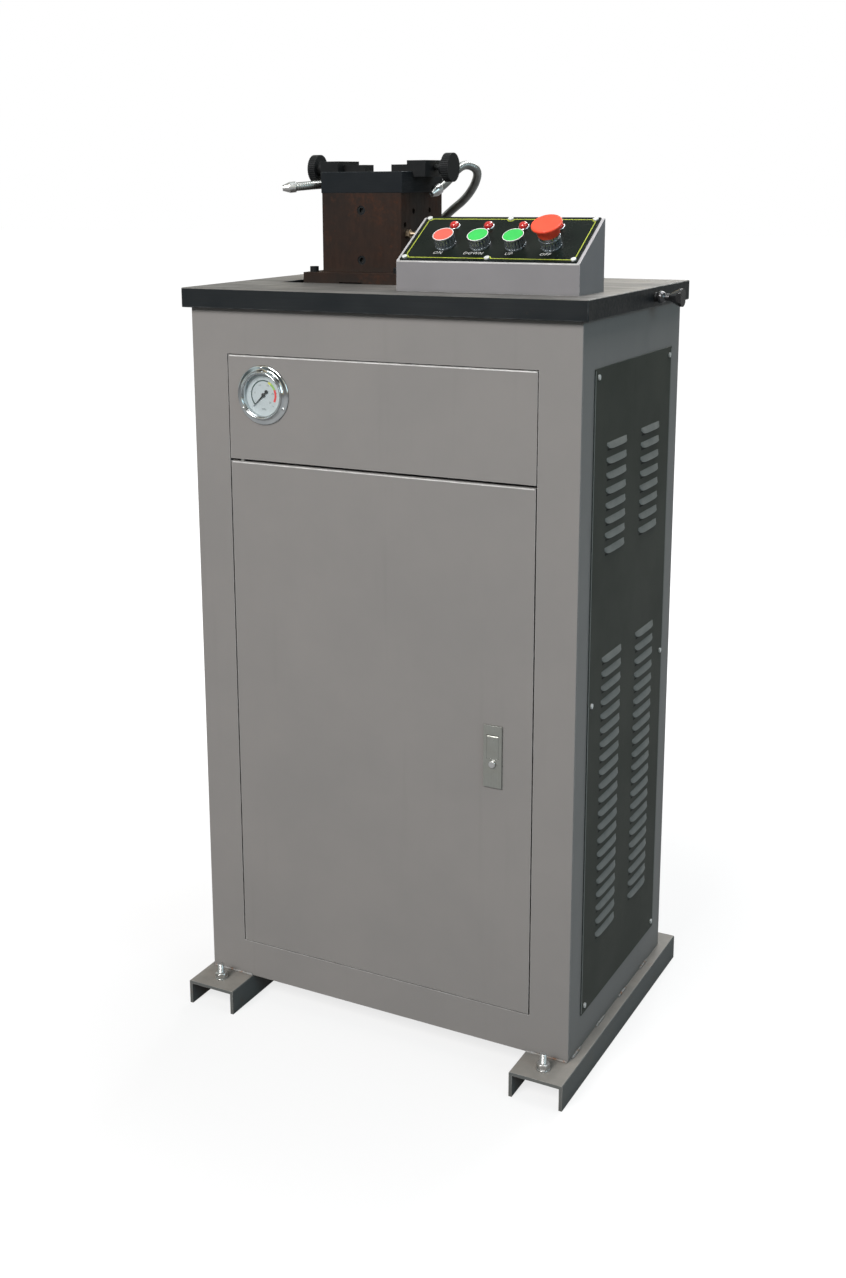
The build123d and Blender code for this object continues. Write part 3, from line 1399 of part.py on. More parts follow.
# electrical box on the back panel, with the gland of its mains cable outside
box_front = back - sheet - box_depth
with BuildPart() as electrical_box:
    block(box_left, box_left + box_width, box_front, back - sheet, box_bottom, box_bottom + box_height)
    block(box_left + box_wall, box_left + box_width - box_wall, box_front + box_wall, back - sheet,
          box_bottom + box_wall, box_bottom + box_height - box_wall, Mode.SUBTRACT)
    gland_plane = facing(gland_x, back, gland_z, (0, 1, 0))
    disc(gland_plane.offset(-gland_thread_length), gland_thread_radius - running_clearance,
         gland_thread_length)
    hexagon(gland_plane, gland_across_flats, gland_hex_height)
    disc(gland_plane, gland_neck_radius, gland_length)
    disc(gland_plane.offset(gland_length), gland_bore, -gland_length - gland_thread_length, Mode.SUBTRACT)
electrical_box.part.label = "electrical_box"
export_step(electrical_box.part, "parts/electrical_box.step")

print("hose arcs", [round(radius) for route in (right_route, left_route) for radius in arc_radii(route)])
print("cylinder", round(barrel_bottom), "to", round(barrel_top))
print("console slope", round(degrees(console_slope), 1))
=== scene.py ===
import bpy
import bmesh
import json
import numpy as np
from math import cos, pi, radians, sin
from mathutils import Matrix, Vector


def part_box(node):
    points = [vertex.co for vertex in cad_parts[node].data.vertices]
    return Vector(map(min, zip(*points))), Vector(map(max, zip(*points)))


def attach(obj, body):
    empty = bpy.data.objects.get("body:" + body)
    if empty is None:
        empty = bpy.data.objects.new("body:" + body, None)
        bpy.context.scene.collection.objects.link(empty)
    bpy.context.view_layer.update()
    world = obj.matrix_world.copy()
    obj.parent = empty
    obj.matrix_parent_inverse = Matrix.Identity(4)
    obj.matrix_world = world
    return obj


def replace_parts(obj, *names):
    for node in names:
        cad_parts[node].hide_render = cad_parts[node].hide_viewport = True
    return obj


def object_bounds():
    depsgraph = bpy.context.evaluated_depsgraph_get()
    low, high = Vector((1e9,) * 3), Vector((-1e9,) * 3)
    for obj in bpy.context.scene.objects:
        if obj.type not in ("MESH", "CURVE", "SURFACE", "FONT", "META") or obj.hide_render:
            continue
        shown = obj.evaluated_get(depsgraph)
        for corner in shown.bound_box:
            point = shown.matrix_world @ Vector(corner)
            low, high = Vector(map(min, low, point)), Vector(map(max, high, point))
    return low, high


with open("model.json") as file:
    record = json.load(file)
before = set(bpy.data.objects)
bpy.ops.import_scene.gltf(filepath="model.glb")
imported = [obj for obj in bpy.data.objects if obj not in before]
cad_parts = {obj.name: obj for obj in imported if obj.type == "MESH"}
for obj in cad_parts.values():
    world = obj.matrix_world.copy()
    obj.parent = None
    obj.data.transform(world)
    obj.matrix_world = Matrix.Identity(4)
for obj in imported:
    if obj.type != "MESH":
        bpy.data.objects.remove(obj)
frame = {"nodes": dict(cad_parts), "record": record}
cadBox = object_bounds()
nodes = frame["nodes"]
joints = {joint["name"]: joint for joint in frame["record"]["behaviour"]["joints"]}
print("frame loaded with", len(nodes), "nodes")


def addObject(name, data):
    thing = bpy.data.objects.new(name, data)
    bpy.context.scene.collection.objects.link(thing)
    return thing


# camera, a little above the table's height, to the right of the front
view = {
    "place": (1.003957, -2.024839, 1.251863),
    "turn": 28.8377,  # degrees to the left of straight back
    "tip": 12.8937,  # degrees below level
    "roll": -0.5312,
    "lens": 43.38,
    "shift": (0.03841, -0.08436),
}


def placeCamera():
    turn, tip, roll = (radians(view[key]) for key in ("turn", "tip", "roll"))
    ahead = Vector((-sin(turn) * cos(tip), cos(turn) * cos(tip), -sin(tip)))
    side = Vector((cos(turn), sin(turn), 0))
    up = side.cross(ahead)
    rolledSide = side * cos(roll) + up * sin(roll)
    rolledUp = up * cos(roll) - side * sin(roll)
    camera = addObject("camera", bpy.data.cameras.new("camera"))
    facing = Matrix((rolledSide, rolledUp, -ahead)).transposed().to_4x4()
    camera.matrix_world = Matrix.Translation(view["place"]) @ facing
    camera.data.sensor_width = 36
    camera.data.lens = view["lens"]
    camera.data.shift_x, camera.data.shift_y = view["shift"]
    bpy.context.scene.camera = camera


# small helpers for shader nodes
def put(tree, kind, inputs=None, **settings):
    node = tree.nodes.new("ShaderNode" + kind)
    for name, value in settings.items():
        setattr(node, name, value)
    for key, value in (inputs or {}).items():
        socket = node.inputs[key]
        if isinstance(value, bpy.types.NodeSocket):
            tree.links.new(value, socket)
        else:
            socket.default_value = value
    return node


def calc(tree, operation, first, second=0.5, third=0.5):
    return put(tree, "Math", {0: first, 1: second, 2: third}, operation=operation).outputs[0]


def times(tree, first, second):
    return calc(tree, "MULTIPLY", first, second)


def ramp(tree, value, low, high, lowOut=0.0, highOut=1.0):
    limits = {0: value, 1: low, 2: high, 3: lowOut, 4: highOut}
    return put(tree, "MapRange", limits, interpolation_type="SMOOTHSTEP").outputs[0]


def blendColours(tree, amount, first, second):
    mix = put(tree, "Mix", {"Factor": amount}, data_type="RGBA")
    for socket, colour in ((mix.inputs[6], first), (mix.inputs[7], second)):
        if isinstance(colour, bpy.types.NodeSocket):
            tree.links.new(colour, socket)
        else:
            socket.default_value = tuple(colour) + (1,)
    return mix.outputs[2]


light = {
    "lamps": {  # place, size, power and colour of each
        "keyLamp": ((-1.0, -6.0, 5.0), 3.0, 600, (1.0, 0.975, 0.955)),
        "topLamp": ((0.7, 0.3, 3.5), 1.4, 46, (1, 1, 1)),
        "fillLamp": ((4.2, -1.6, 2.4), 1.8, 42, (0.56, 0.86, 1.0)),
        "rearLamp": ((0.15, 4.2, 4.4), 2.5, 210, (1, 1, 1)),
    },
    "aim": (0, 0, 0.7),
    "ambient": 0.08,
    "ambientColour": (0.88, 1.0, 0.99),
    "shine": (0.12, 0.9),  # how bright the studio's darker and brighter parts are in reflections
    "warmColour": (1.0, 0.68, 0.32),  # tint of some patches in reflections
    "warmShare": 0.75,
    "floorReach": 30,
    "floorColour": 0.2,
    "floorShine": 0.2,  # how bright the floor is in reflections
    "floorGlow": (0.76, 1.0),  # close to the machine, and far off
    "glowReach": (0.45, 1.5),
}


def areaLamp(name, place, size, power, colour):
    lamp = addObject(name, bpy.data.lights.new(name, "AREA"))
    lamp.data.size = size
    lamp.data.energy = power
    lamp.data.color = colour
    lamp.location = place
    lamp.rotation_mode = "QUATERNION"
    lamp.rotation_quaternion = (Vector(light["aim"]) - Vector(place)).to_track_quat("-Z", "Y")
    lamp.visible_camera = False


def makeStage():
    reach = light["floorReach"]
    corners = [(x * reach, y * reach, cadBox[0].z) for x, y in ((-1, -1), (1, -1), (1, 1), (-1, 1))]
    mesh = bpy.data.meshes.new("floor")
    mesh.from_pydata(corners, [], [(0, 1, 2, 3)])
    floor = addObject("floor", mesh)
    paint = bpy.data.materials.new("floorPaint")
    paint.use_nodes = True
    tree = paint.node_tree
    tree.nodes.clear()
    rays = put(tree, "LightPath").outputs
    place = put(tree, "TexCoord").outputs["Object"]
    away = put(tree, "VectorMath", {0: place}, operation="LENGTH").outputs["Value"]
    near, far = light["floorGlow"]
    glow = ramp(tree, away, *light["glowReach"], near, far)
    shiny = times(tree, rays["Is Glossy Ray"], light["floorShine"])
    seen = calc(tree, "MAXIMUM", rays["Is Camera Ray"], rays["Is Transmission Ray"])
    glow = times(tree, calc(tree, "MAXIMUM", seen, shiny), glow)
    surface = put(tree, "BsdfPrincipled", {
        "Base Color": (light["floorColour"],) * 3 + (1,), "Roughness": 0.9, "Specular IOR Level": 0.1,
        "Emission Color": (1, 1, 1, 1), "Emission Strength": glow})
    put(tree, "OutputMaterial", {"Surface": surface.outputs[0]})
    mesh.materials.append(paint)

    world = bpy.data.worlds.new("studio")
    bpy.context.scene.world = world
    world.use_nodes = True
    tree = world.node_tree
    tree.nodes.clear()
    rays = put(tree, "LightPath").outputs
    seen = calc(tree, "MAXIMUM", rays["Is Camera Ray"], rays["Is Transmission Ray"])
    around = put(tree, "TexCoord").outputs["Generated"]
    patches = put(tree, "TexNoise", {"Vector": around, "Scale": 2.3, "Detail": 1.0}).outputs[0]
    patches = ramp(tree, patches, 0.42, 0.6, *light["shine"])
    shiny = times(tree, rays["Is Glossy Ray"], patches)
    seen = calc(tree, "MAXIMUM", calc(tree, "MAXIMUM", seen, shiny), light["ambient"])
    warm = put(tree, "TexNoise", {"Vector": around, "Scale": 3.1, "Detail": 1.0}).outputs[0]
    warm = ramp(tree, warm, 0.52, 0.62, 0.0, light["warmShare"])
    warm = times(tree, warm, rays["Is Glossy Ray"])
    tint = blendColours(tree, warm, light["ambientColour"], light["warmColour"])
    sky = put(tree, "Background", {"Color": tint, "Strength": seen})
    plain = put(tree, "Background", {"Color": (1, 1, 1, 1), "Strength": 1.0})
    both = put(tree, "MixShader", {0: rays["Is Camera Ray"], 1: sky.outputs[0], 2: plain.outputs[0]})
    put(tree, "OutputWorld", {"Surface": both.outputs[0]})

    for name, lamp in light["lamps"].items():
        areaLamp(name, *lamp)
    bpy.context.scene.view_settings.view_transform = "Standard"


placeCamera()
makeStage()
print("stage ready")


# shared effects: each function works out one from the sliders given and the place on the object
def noise(tree, place, scale, detail=3.0, rough=0.5):
    settings = {"Vector": place, "Scale": scale, "Detail": detail, "Roughness": rough}
    return put(tree, "TexNoise", settings).outputs[0]


def grain(tree, given, place):
    # fine orange-peel height and a slow cloudy tone, both 0 to 1
    fine = noise(tree, place, given["Fine"], 2.0)
    broad = noise(tree, place, times(tree, given["Fine"], 0.22), 3.0)
    height = calc(tree, "ADD", times(tree, fine, 0.65), times(tree, broad, 0.35))
    return [height, ramp(tree, noise(tree, place, given["Cloud"], 5.0, 0.6), 0.3, 0.7)]


def edgeWearAndHighlight(tree, given, place):
    # edge wear and painted highlight: bright where the rounded normal leaves the flat one, broken up by noise
    rounded = put(tree, "Bevel", {"Radius": given["Width"]}, samples=6).outputs[0]
    flat = put(tree, "NewGeometry").outputs["Normal"]
    turn = put(tree, "VectorMath", {0: rounded, 1: flat}, operation="DOT_PRODUCT")
    edge = ramp(tree, turn.outputs["Value"], 0.985, 0.86)
    patch = ramp(tree, noise(tree, place, given["Break"], 4.0, 0.65), 0.36, 0.62)
    mask = times(tree, edge, calc(tree, "MULTIPLY_ADD", patch, 0.75, 0.25))
    return [times(tree, mask, given["Amount"])]


def grime(tree, given, place):
    # painted shade: darker in corners and recesses found by ambient occlusion, with thin dirt runs down the
    # sheet
    hidden = put(tree, "AmbientOcclusion", {"Distance": given["Reach"]}, samples=4)
    corner = ramp(tree, hidden.outputs["AO"], 0.95, 0.3)
    patch = noise(tree, place, 35.0, 4.0, 0.6)
    corner = times(tree, corner, calc(tree, "MULTIPLY_ADD", patch, 0.9, 0.35))
    tall = put(tree, "Mapping", {"Vector": place, "Scale": (48, 48, 2.2)}).outputs[0]
    run = noise(tree, tall, 1.0, 3.0, 0.6)
    run = times(tree, ramp(tree, run, 0.56, 0.8), given["Runs"])
    return [times(tree, calc(tree, "MAXIMUM", corner, run), given["Amount"])]


def rust(tree, given, place):
    # blotches that gather in hollows of slow noise, speckled at their rims
    slow = noise(tree, place, given["Scale"], 6.0, 0.68)
    speck = noise(tree, place, times(tree, given["Scale"], 14.0), 3.0, 0.6)
    rough = calc(tree, "MULTIPLY_ADD", speck, 0.3, slow)
    edge = calc(tree, "SUBTRACT", 1.15, times(tree, given["Cover"], 0.65))
    mask = ramp(tree, rough, calc(tree, "SUBTRACT", edge, 0.16), edge)
    return [times(tree, mask, given["Amount"]), ramp(tree, speck, 0.35, 0.65)]


def brushed(tree, given, place):
    # long fine lines: noise squeezed across the rolling or grinding direction
    stretched = put(tree, "VectorMath", {0: place, 1: given["Stretch"]}, operation="MULTIPLY").outputs[0]
    line = noise(tree, stretched, 1.0, 4.0, 0.6)
    return [line, ramp(tree, line, 0.35, 0.65)]


def scratches(tree, given, place):
    # a few thin straight scores in two directions
    masks = []
    for turn in ((0.3, 0.1, 0.5), (0.9, 0.4, 2.3)):
        squeeze = {"Vector": place, "Rotation": turn, "Scale": (1.0, 0.05, 1.0)}
        leaning = put(tree, "Mapping", squeeze).outputs[0]
        cells = {"Vector": leaning, "Scale": given["Size"]}
        cell = put(tree, "TexVoronoi", cells, feature="DISTANCE_TO_EDGE")
        line = ramp(tree, cell.outputs["Distance"], 0.012, 0.0)
        masks.append(times(tree, line, ramp(tree, noise(tree, place, 30.0), 0.52, 0.62)))
    return [times(tree, calc(tree, "MAXIMUM", *masks), given["Amount"])]


effectTable = {  # the function, the group's sliders, and the names of what it hands back
    "surfaceGrain": (grain, {"Fine": 900.0, "Cloud": 9.0}, ("Height", "Tone")),
    "edgeWearAndHighlight": (edgeWearAndHighlight, {"Width": 0.0008, "Break": 60.0, "Amount": 1.0}, ("Mask",)),
    "grime": (grime, {"Reach": 0.02, "Amount": 1.0, "Runs": 0.3}, ("Mask",)),
    "rust": (rust, {"Scale": 22.0, "Cover": 0.5, "Amount": 1.0}, ("Mask", "Tone")),
    "brushed": (brushed, {"Stretch": (900.0, 30.0, 900.0)}, ("Height", "Tone")),
    "scratches": (scratches, {"Size": 14.0, "Amount": 1.0}, ("Mask",)),
}


def makeGroup(name, workOut, sliders, results):
    tree = bpy.data.node_groups.new(name, "ShaderNodeTree")
    for slider, start in sliders.items():
        kind = "NodeSocketVector" if isinstance(start, tuple) else "NodeSocketFloat"
        tree.interface.new_socket(slider, in_out="INPUT", socket_type=kind).default_value = start
    for result in results:
        tree.interface.new_socket(result, in_out="OUTPUT", socket_type="NodeSocketFloat")
    source = tree.nodes.new("NodeGroupInput")
    drain = tree.nodes.new("NodeGroupOutput")
    place = put(tree, "TexCoord").outputs["Object"]
    for value, socket in zip(workOut(tree, source.outputs, place), drain.inputs):
        tree.links.new(value, socket)
    return tree


effects = {name: makeGroup(name, *parts) for name, parts in effectTable.items()}
print("shared effects ready")


def useEffect(tree, name, sliders):
    node = tree.nodes.new("ShaderNodeGroup")
    node.node_tree = effects[name]
    for slider, value in sliders.items():
        node.inputs[slider].default_value = value
    return node.outputs


# settings of three of the effects: the sliders of the group, and the colour that shows in its mask
def rusted(amount, scale=22.0, cover=0.5, colours=((0.12, 0.045, 0.018), (0.28, 0.11, 0.035))):
    return {"Scale": scale, "Cover": cover, "Amount": amount}, colours


# settings for painted corner shade from ambient occlusion, with dirt runs where asked
def dirtAndShade(amount, reach=0.02, colour=(0.03, 0.027, 0.022), runs=0.0):
    return {"Reach": reach, "Amount": amount, "Runs": runs}, colour


# settings for worn edges that also stand in for painted highlights along the edges
def wornAndLit(amount, width=0.0008, colour=(0.45, 0.45, 0.46)):
    return {"Width": width, "Amount": amount}, colour


# what every finish starts from; each finish below changes some of it
plainFinish = {
    "cloud": 9.0,  # scale of the slow clouds
    "fine": 900.0,  # scale of the fine grain
    "bump": 0.08,
    "bumpDepth": 0.0002,
    "rough": 0.45,
    "roughVary": 0.06,
    "metal": 0.0,
    "gloss": 0.4,  # Principled specular level
    "coat": 0.0,
    "round": 0.0005,  # how far edges are rounded in the shading
    "upColour": None,  # painted highlight: a lighter colour for faces that look up, standing in for light from above
    "upFrom": (0.8, 0.95),  # how far up they look
    "lines": None,  # stretch of brushed lines along x, y, z
    "linesShare": 0.3,
    "rust": None,
    "grime": None,
    "wear": None,
    "scratch": 0.0,
    "scratchColour": (0.4, 0.4, 0.41),
}


def newMaterial(name):
    material = bpy.data.materials.new(name)
    material.use_nodes = True
    return material, material.node_tree, material.node_tree.nodes["Principled BSDF"]


def makeFinish(name, base, cloudColour=None, **changes):
    # base is the main colour, and cloudColour shows through it in slow clouds
    look = {**plainFinish, **changes}
    material, tree, shader = newMaterial(name)
    skin = useEffect(tree, "surfaceGrain", {"Fine": look["fine"], "Cloud": look["cloud"]})
    second = cloudColour or tuple(part * 0.88 for part in base)
    colour = blendColours(tree, skin["Tone"], base, second)
    # painted highlight and reflection: faces that look up take the lighter colour, as if lit from above,
    # broken up by the clouds
    if look["upColour"]:
        facing = put(tree, "SeparateXYZ", {0: put(tree, "NewGeometry").outputs["Normal"]}).outputs[2]
        patchy = calc(tree, "MULTIPLY_ADD", skin["Tone"], -0.45, 1.0)
        mask = times(tree, ramp(tree, facing, *look["upFrom"]), patchy)
        colour = blendColours(tree, mask, colour, look["upColour"])
    height = skin["Height"]
    vary = look["roughVary"]
    rough = calc(tree, "MULTIPLY_ADD", skin["Tone"], vary, look["rough"] - vary / 2)
    metal = None
    if look["lines"]:
        lines = useEffect(tree, "brushed", {"Stretch": look["lines"]})
        dark = tuple(part * 0.72 for part in base)
        colour = blendColours(tree, times(tree, lines["Tone"], look["linesShare"]), colour, dark)
        height = calc(tree, "ADD", height, times(tree, lines["Height"], 0.6))
        rough = calc(tree, "MULTIPLY_ADD", lines["Tone"], 0.1, rough)
    if look["rust"]:
        sliders, rustColours = look["rust"]
        effect = useEffect(tree, "rust", sliders)
        mask = effect["Mask"]
        colour = blendColours(tree, mask, colour, blendColours(tree, effect["Tone"], *rustColours))
        rough = calc(tree, "MULTIPLY_ADD", mask, 0.25, rough)
        height = calc(tree, "MULTIPLY_ADD", mask, 0.5, height)
        if look["metal"]:
            metal = times(tree, calc(tree, "SUBTRACT", 1.0, mask), look["metal"])
    # painted shade in corners and recesses, with dirt runs, in the dark colour
    if look["grime"]:
        sliders, dark = look["grime"]
        mask = useEffect(tree, "grime", sliders)["Mask"]
        colour = blendColours(tree, mask, colour, dark)
        rough = calc(tree, "MULTIPLY_ADD", mask, 0.2, rough)
    if look["scratch"]:
        mask = useEffect(tree, "scratches", {"Amount": look["scratch"]})["Mask"]
        colour = blendColours(tree, mask, colour, look["scratchColour"])
    # worn edges and painted edge highlights: the lighter colour where edges round off
    if look["wear"]:
        sliders, edgeTone = look["wear"]
        colour = blendColours(tree, useEffect(tree, "edgeWearAndHighlight", sliders)["Mask"], colour, edgeTone)
    rounded = put(tree, "Bevel", {"Radius": look["round"]}, samples=4).outputs[0]
    bump = put(tree, "Bump", {
        "Strength": look["bump"], "Distance": look["bumpDepth"], "Height": height, "Normal": rounded})
    shader.inputs["Specular IOR Level"].default_value = look["gloss"]
    shader.inputs["Coat Weight"].default_value = look["coat"]
    shader.inputs["Metallic"].default_value = look["metal"]
    if metal is not None:
        tree.links.new(metal, shader.inputs["Metallic"])
    tree.links.new(colour, shader.inputs["Base Color"])
    tree.links.new(rough, shader.inputs["Roughness"])
    tree.links.new(bump.outputs[0], shader.inputs["Normal"])
    return material


rolled = (60.0, 60.0, 3.0)
cabinetGrey = (0.2384, 0.227, 0.2195)
sheetPaint = {"fine": 1500.0, "bump": 0.25, "bumpDepth": 0.00025}
buttonPlastic = {"cloud": 60.0, "fine": 1500.0, "bump": 0.06, "rough": 0.38, "grime": dirtAndShade(0.2, 0.003)}
finishes = {}


def addFinish(slotName, base, cloudColour=None, **changes):
    first, *rest = slotName.split("_")
    name = first + "".join(word.title() for word in rest)
    finishes[slotName] = makeFinish(name, base, cloudColour, **changes)


addFinish(
    "cabinet_paint", cabinetGrey, (0.222, 0.213, 0.207), **sheetPaint, cloud=5.0, rough=0.46, gloss=0.3,
    upColour=(0.5, 0.49, 0.48), upFrom=(0.12, 0.45), wear=wornAndLit(0.9, 0.0012, (0.5, 0.49, 0.48)),
    grime=dirtAndShade(0.45, 0.012, (0.07, 0.066, 0.062), runs=0.12))
addFinish(
    "channelPaint", (0.1, 0.107, 0.106), (0.13, 0.133, 0.126), cloud=16.0, fine=1200.0, bump=0.25, rough=0.5,
    gloss=0.3, upColour=(0.25, 0.232, 0.21), wear=wornAndLit(0.9, 0.0014, (0.36, 0.34, 0.32)),
    rust=rusted(0.45, 45.0, 0.36), grime=dirtAndShade(0.5, 0.03, (0.045, 0.04, 0.036)))
addFinish(
    "consolePaint", (0.225, 0.218, 0.226), (0.208, 0.202, 0.21), cloud=12.0, fine=1700.0, bump=0.22,
    rough=0.42, gloss=0.3, upColour=(0.42, 0.41, 0.42), upFrom=(0.12, 0.45),
    wear=wornAndLit(0.85, 0.0011, (0.5, 0.5, 0.5)), grime=dirtAndShade(0.3, 0.006))
addFinish(
    "inner_paint", (0.2, 0.2, 0.19), fine=700.0, rough=0.5, wear=wornAndLit(0.3), grime=dirtAndShade(0.5, runs=0.2),
    scratch=0.2)
addFinish(
    "tableSteel", (0.0065, 0.009, 0.0112), (0.0105, 0.013, 0.015), cloud=7.0, fine=420.0, bump=0.2,
    rough=0.42, roughVary=0.16, gloss=0.25, upColour=(0.2, 0.19, 0.178), upFrom=(0.2, 0.5),
    lines=(5.0, 220.0, 220.0), linesShare=0.5, wear=wornAndLit(1.0, 0.002, (0.16, 0.165, 0.165)),
    rust=rusted(0.3, 11.0, 0.28, ((0.05, 0.03, 0.02), (0.11, 0.07, 0.045))), grime=dirtAndShade(0.5))
addFinish(
    "capSteel", (0.0055, 0.008, 0.0105), (0.009, 0.0115, 0.014), cloud=18.0, fine=500.0, bump=0.15, rough=0.5,
    roughVary=0.1, gloss=0.15, lines=(40.0, 40.0, 900.0), linesShare=0.35,
    wear=wornAndLit(0.8, 0.001, (0.085, 0.095, 0.1)), grime=dirtAndShade(0.4))
addFinish(
    "black_steel", (0.0042, 0.0052, 0.0065), (0.0072, 0.0085, 0.0095), cloud=25.0, fine=600.0, bump=0.15,
    rough=0.5, gloss=0.18, wear=wornAndLit(0.6, 0.0007, (0.06, 0.062, 0.065)), grime=dirtAndShade(0.3, 0.008))
addFinish(
    "rusty_steel", (0.0135, 0.0095, 0.008), (0.028, 0.0135, 0.0085), cloud=13.0, fine=380.0, bump=0.3,
    bumpDepth=0.0003, rough=0.52, roughVary=0.16, gloss=0.16, lines=(150.0, 150.0, 45.0),
    wear=wornAndLit(0.5, 0.0009, (0.06, 0.05, 0.042)),
    rust=rusted(0.5, 15.0, 0.5, ((0.035, 0.0145, 0.0085), (0.06, 0.022, 0.0105))), grime=dirtAndShade(0.4, 0.015))
addFinish(
    "bright_steel", (0.56, 0.56, 0.56), rough=0.3, metal=1.0, lines=rolled, rust=rusted(0.25, 22.0, 0.2),
    grime=dirtAndShade(0.3))
addFinish(
    "zinc", (0.68, 0.685, 0.68), (0.6, 0.605, 0.61), cloud=50.0, fine=800.0, rough=0.3, roughVary=0.12,
    metal=1.0, grime=dirtAndShade(0.35, 0.004, (0.16, 0.15, 0.14)))
addFinish(
    "chrome", (0.6, 0.63, 0.64), (0.52, 0.55, 0.57), cloud=40.0, fine=300.0, bump=0.04, rough=0.09, metal=1.0,
    grime=dirtAndShade(0.4, 0.004, (0.1, 0.1, 0.1)))
addFinish(
    "darkChrome", (0.5, 0.53, 0.55), (0.42, 0.45, 0.47), cloud=60.0, bump=0.03, rough=0.14, metal=1.0,
    grime=dirtAndShade(0.5, 0.004, (0.03, 0.03, 0.03)))
addFinish(
    "coverPaint", (0.052, 0.056, 0.046), (0.044, 0.048, 0.04), **sheetPaint, cloud=6.0, rough=0.5, gloss=0.12,
    wear=wornAndLit(1.0, 0.001, (0.36, 0.37, 0.36)), grime=dirtAndShade(0.5, 0.006, (0.02, 0.021, 0.02), runs=0.1))
# painted highlight: the louvres are the cover's own sheet given a lighter paint, for the light on their
# upward faces
addFinish(
    "louvrePaint", (0.2, 0.205, 0.195), (0.17, 0.176, 0.168), **sheetPaint, cloud=30.0, gloss=0.3,
    grime=dirtAndShade(0.6, 0.003, (0.03, 0.032, 0.03)))
addFinish(
    "lockZinc", (0.4, 0.41, 0.385), (0.33, 0.335, 0.31), cloud=45.0, rough=0.34, roughVary=0.16, metal=0.9,
    lines=(500.0, 500.0, 25.0), linesShare=0.25, grime=dirtAndShade(0.6, 0.003, (0.07, 0.07, 0.06)))
addFinish(
    "weldRust", (0.2, 0.185, 0.17), (0.3, 0.3, 0.3), cloud=90.0, fine=700.0, bump=0.5, bumpDepth=0.0004,
    rough=0.55, rust=rusted(0.8, 70.0), grime=dirtAndShade(0.5, 0.005))
addFinish(
    "console_plate", (0.0035, 0.006, 0.004), (0.005, 0.0075, 0.0055), cloud=20.0, bump=0.05, rough=0.3,
    roughVary=0.12, gloss=0.13, grime=dirtAndShade(0.25, 0.02, (0.03, 0.03, 0.028)))
addFinish(
    "tapMetal", (0.09, 0.09, 0.095), (0.05, 0.05, 0.052), cloud=70.0, rough=0.27, metal=0.85,
    grime=dirtAndShade(0.5, 0.005))
addFinish(
    "sleeveChrome", (0.3, 0.33, 0.35), (0.22, 0.25, 0.27), cloud=90.0, bump=0.03, rough=0.16, metal=0.75,
    gloss=0.6, grime=dirtAndShade(0.5, 0.0012, (0.015, 0.017, 0.018)))
addFinish(
    "screwHead", (0.78, 0.79, 0.78), (0.7, 0.71, 0.7), cloud=120.0, rough=0.36, metal=0.45,
    grime=dirtAndShade(0.5, 0.0015))
addFinish("red_plastic", (0.86, 0.105, 0.075), (0.8, 0.1, 0.07), **buttonPlastic)
addFinish("green_plastic", (0.035, 0.5, 0.085), (0.03, 0.45, 0.075), **buttonPlastic)
addFinish(
    "stop_red", (0.87, 0.075, 0.032), (0.8, 0.065, 0.028), cloud=45.0, fine=1300.0, rough=0.4, round=0.0008,
    grime=dirtAndShade(0.25, 0.006, (0.15, 0.01, 0.005)))
addFinish(
    "lamp_red", (0.5, 0.012, 0.01), (0.42, 0.01, 0.008), cloud=80.0, bump=0.03, rough=0.14, gloss=0.6,
    coat=0.5)
addFinish("dial_white", (0.5, 0.56, 0.58), (0.45, 0.51, 0.53), cloud=60.0, bump=0.03, rough=0.6)
addFinish("needle_black", (0.012, 0.012, 0.012), fine=2500.0, rough=0.5)
addFinish(
    "brass", (0.5, 0.4, 0.28), rough=0.34, metal=1.0, rust=rusted(0.35, 90.0, 0.35), grime=dirtAndShade(0.5, 0.006))
addFinish(
    "hose_grey", (0.34, 0.35, 0.34), (0.22, 0.225, 0.22), cloud=40.0, rough=0.3, metal=0.9,
    grime=dirtAndShade(0.6, 0.003, (0.02, 0.02, 0.02)))
addFinish(
    "unit_paint", (0.022, 0.05, 0.09), (0.02, 0.043, 0.078), fine=500.0, bump=0.2, rough=0.42,
    wear=wornAndLit(0.4, 0.0008, (0.12, 0.13, 0.14)), grime=dirtAndShade(0.5, runs=0.3))
addFinish(
    "cast_iron", (0.06, 0.06, 0.058), fine=320.0, bump=0.5, bumpDepth=0.0005, rough=0.65,
    wear=wornAndLit(0.4, 0.0008, (0.2, 0.2, 0.2)), grime=dirtAndShade(0.5))
addFinish(
    "motor_aluminium", (0.42, 0.43, 0.44), fine=260.0, bump=0.4, bumpDepth=0.0004, rough=0.5, metal=0.8,
    grime=dirtAndShade(0.6, 0.012))

glassLook = {"tint": (0.35, 0.4, 0.4), "cloudTint": (0.3, 0.36, 0.36), "rough": 0.03, "cover": 0.04}


def makeGlass():
    material, tree, shader = newMaterial("gaugeGlass")
    skin = useEffect(tree, "surfaceGrain", {"Fine": 200.0, "Cloud": 80.0})
    tint = blendColours(tree, skin["Tone"], glassLook["tint"], glassLook["cloudTint"])
    rough = calc(tree, "MULTIPLY_ADD", skin["Tone"], 0.02, glassLook["rough"])
    tree.links.new(tint, shader.inputs["Base Color"])
    tree.links.new(rough, shader.inputs["Roughness"])
    shader.inputs["Alpha"].default_value = glassLook["cover"]
    shader.inputs["Specular IOR Level"].default_value = 1.0
    return material


finishes["glass"] = makeGlass()
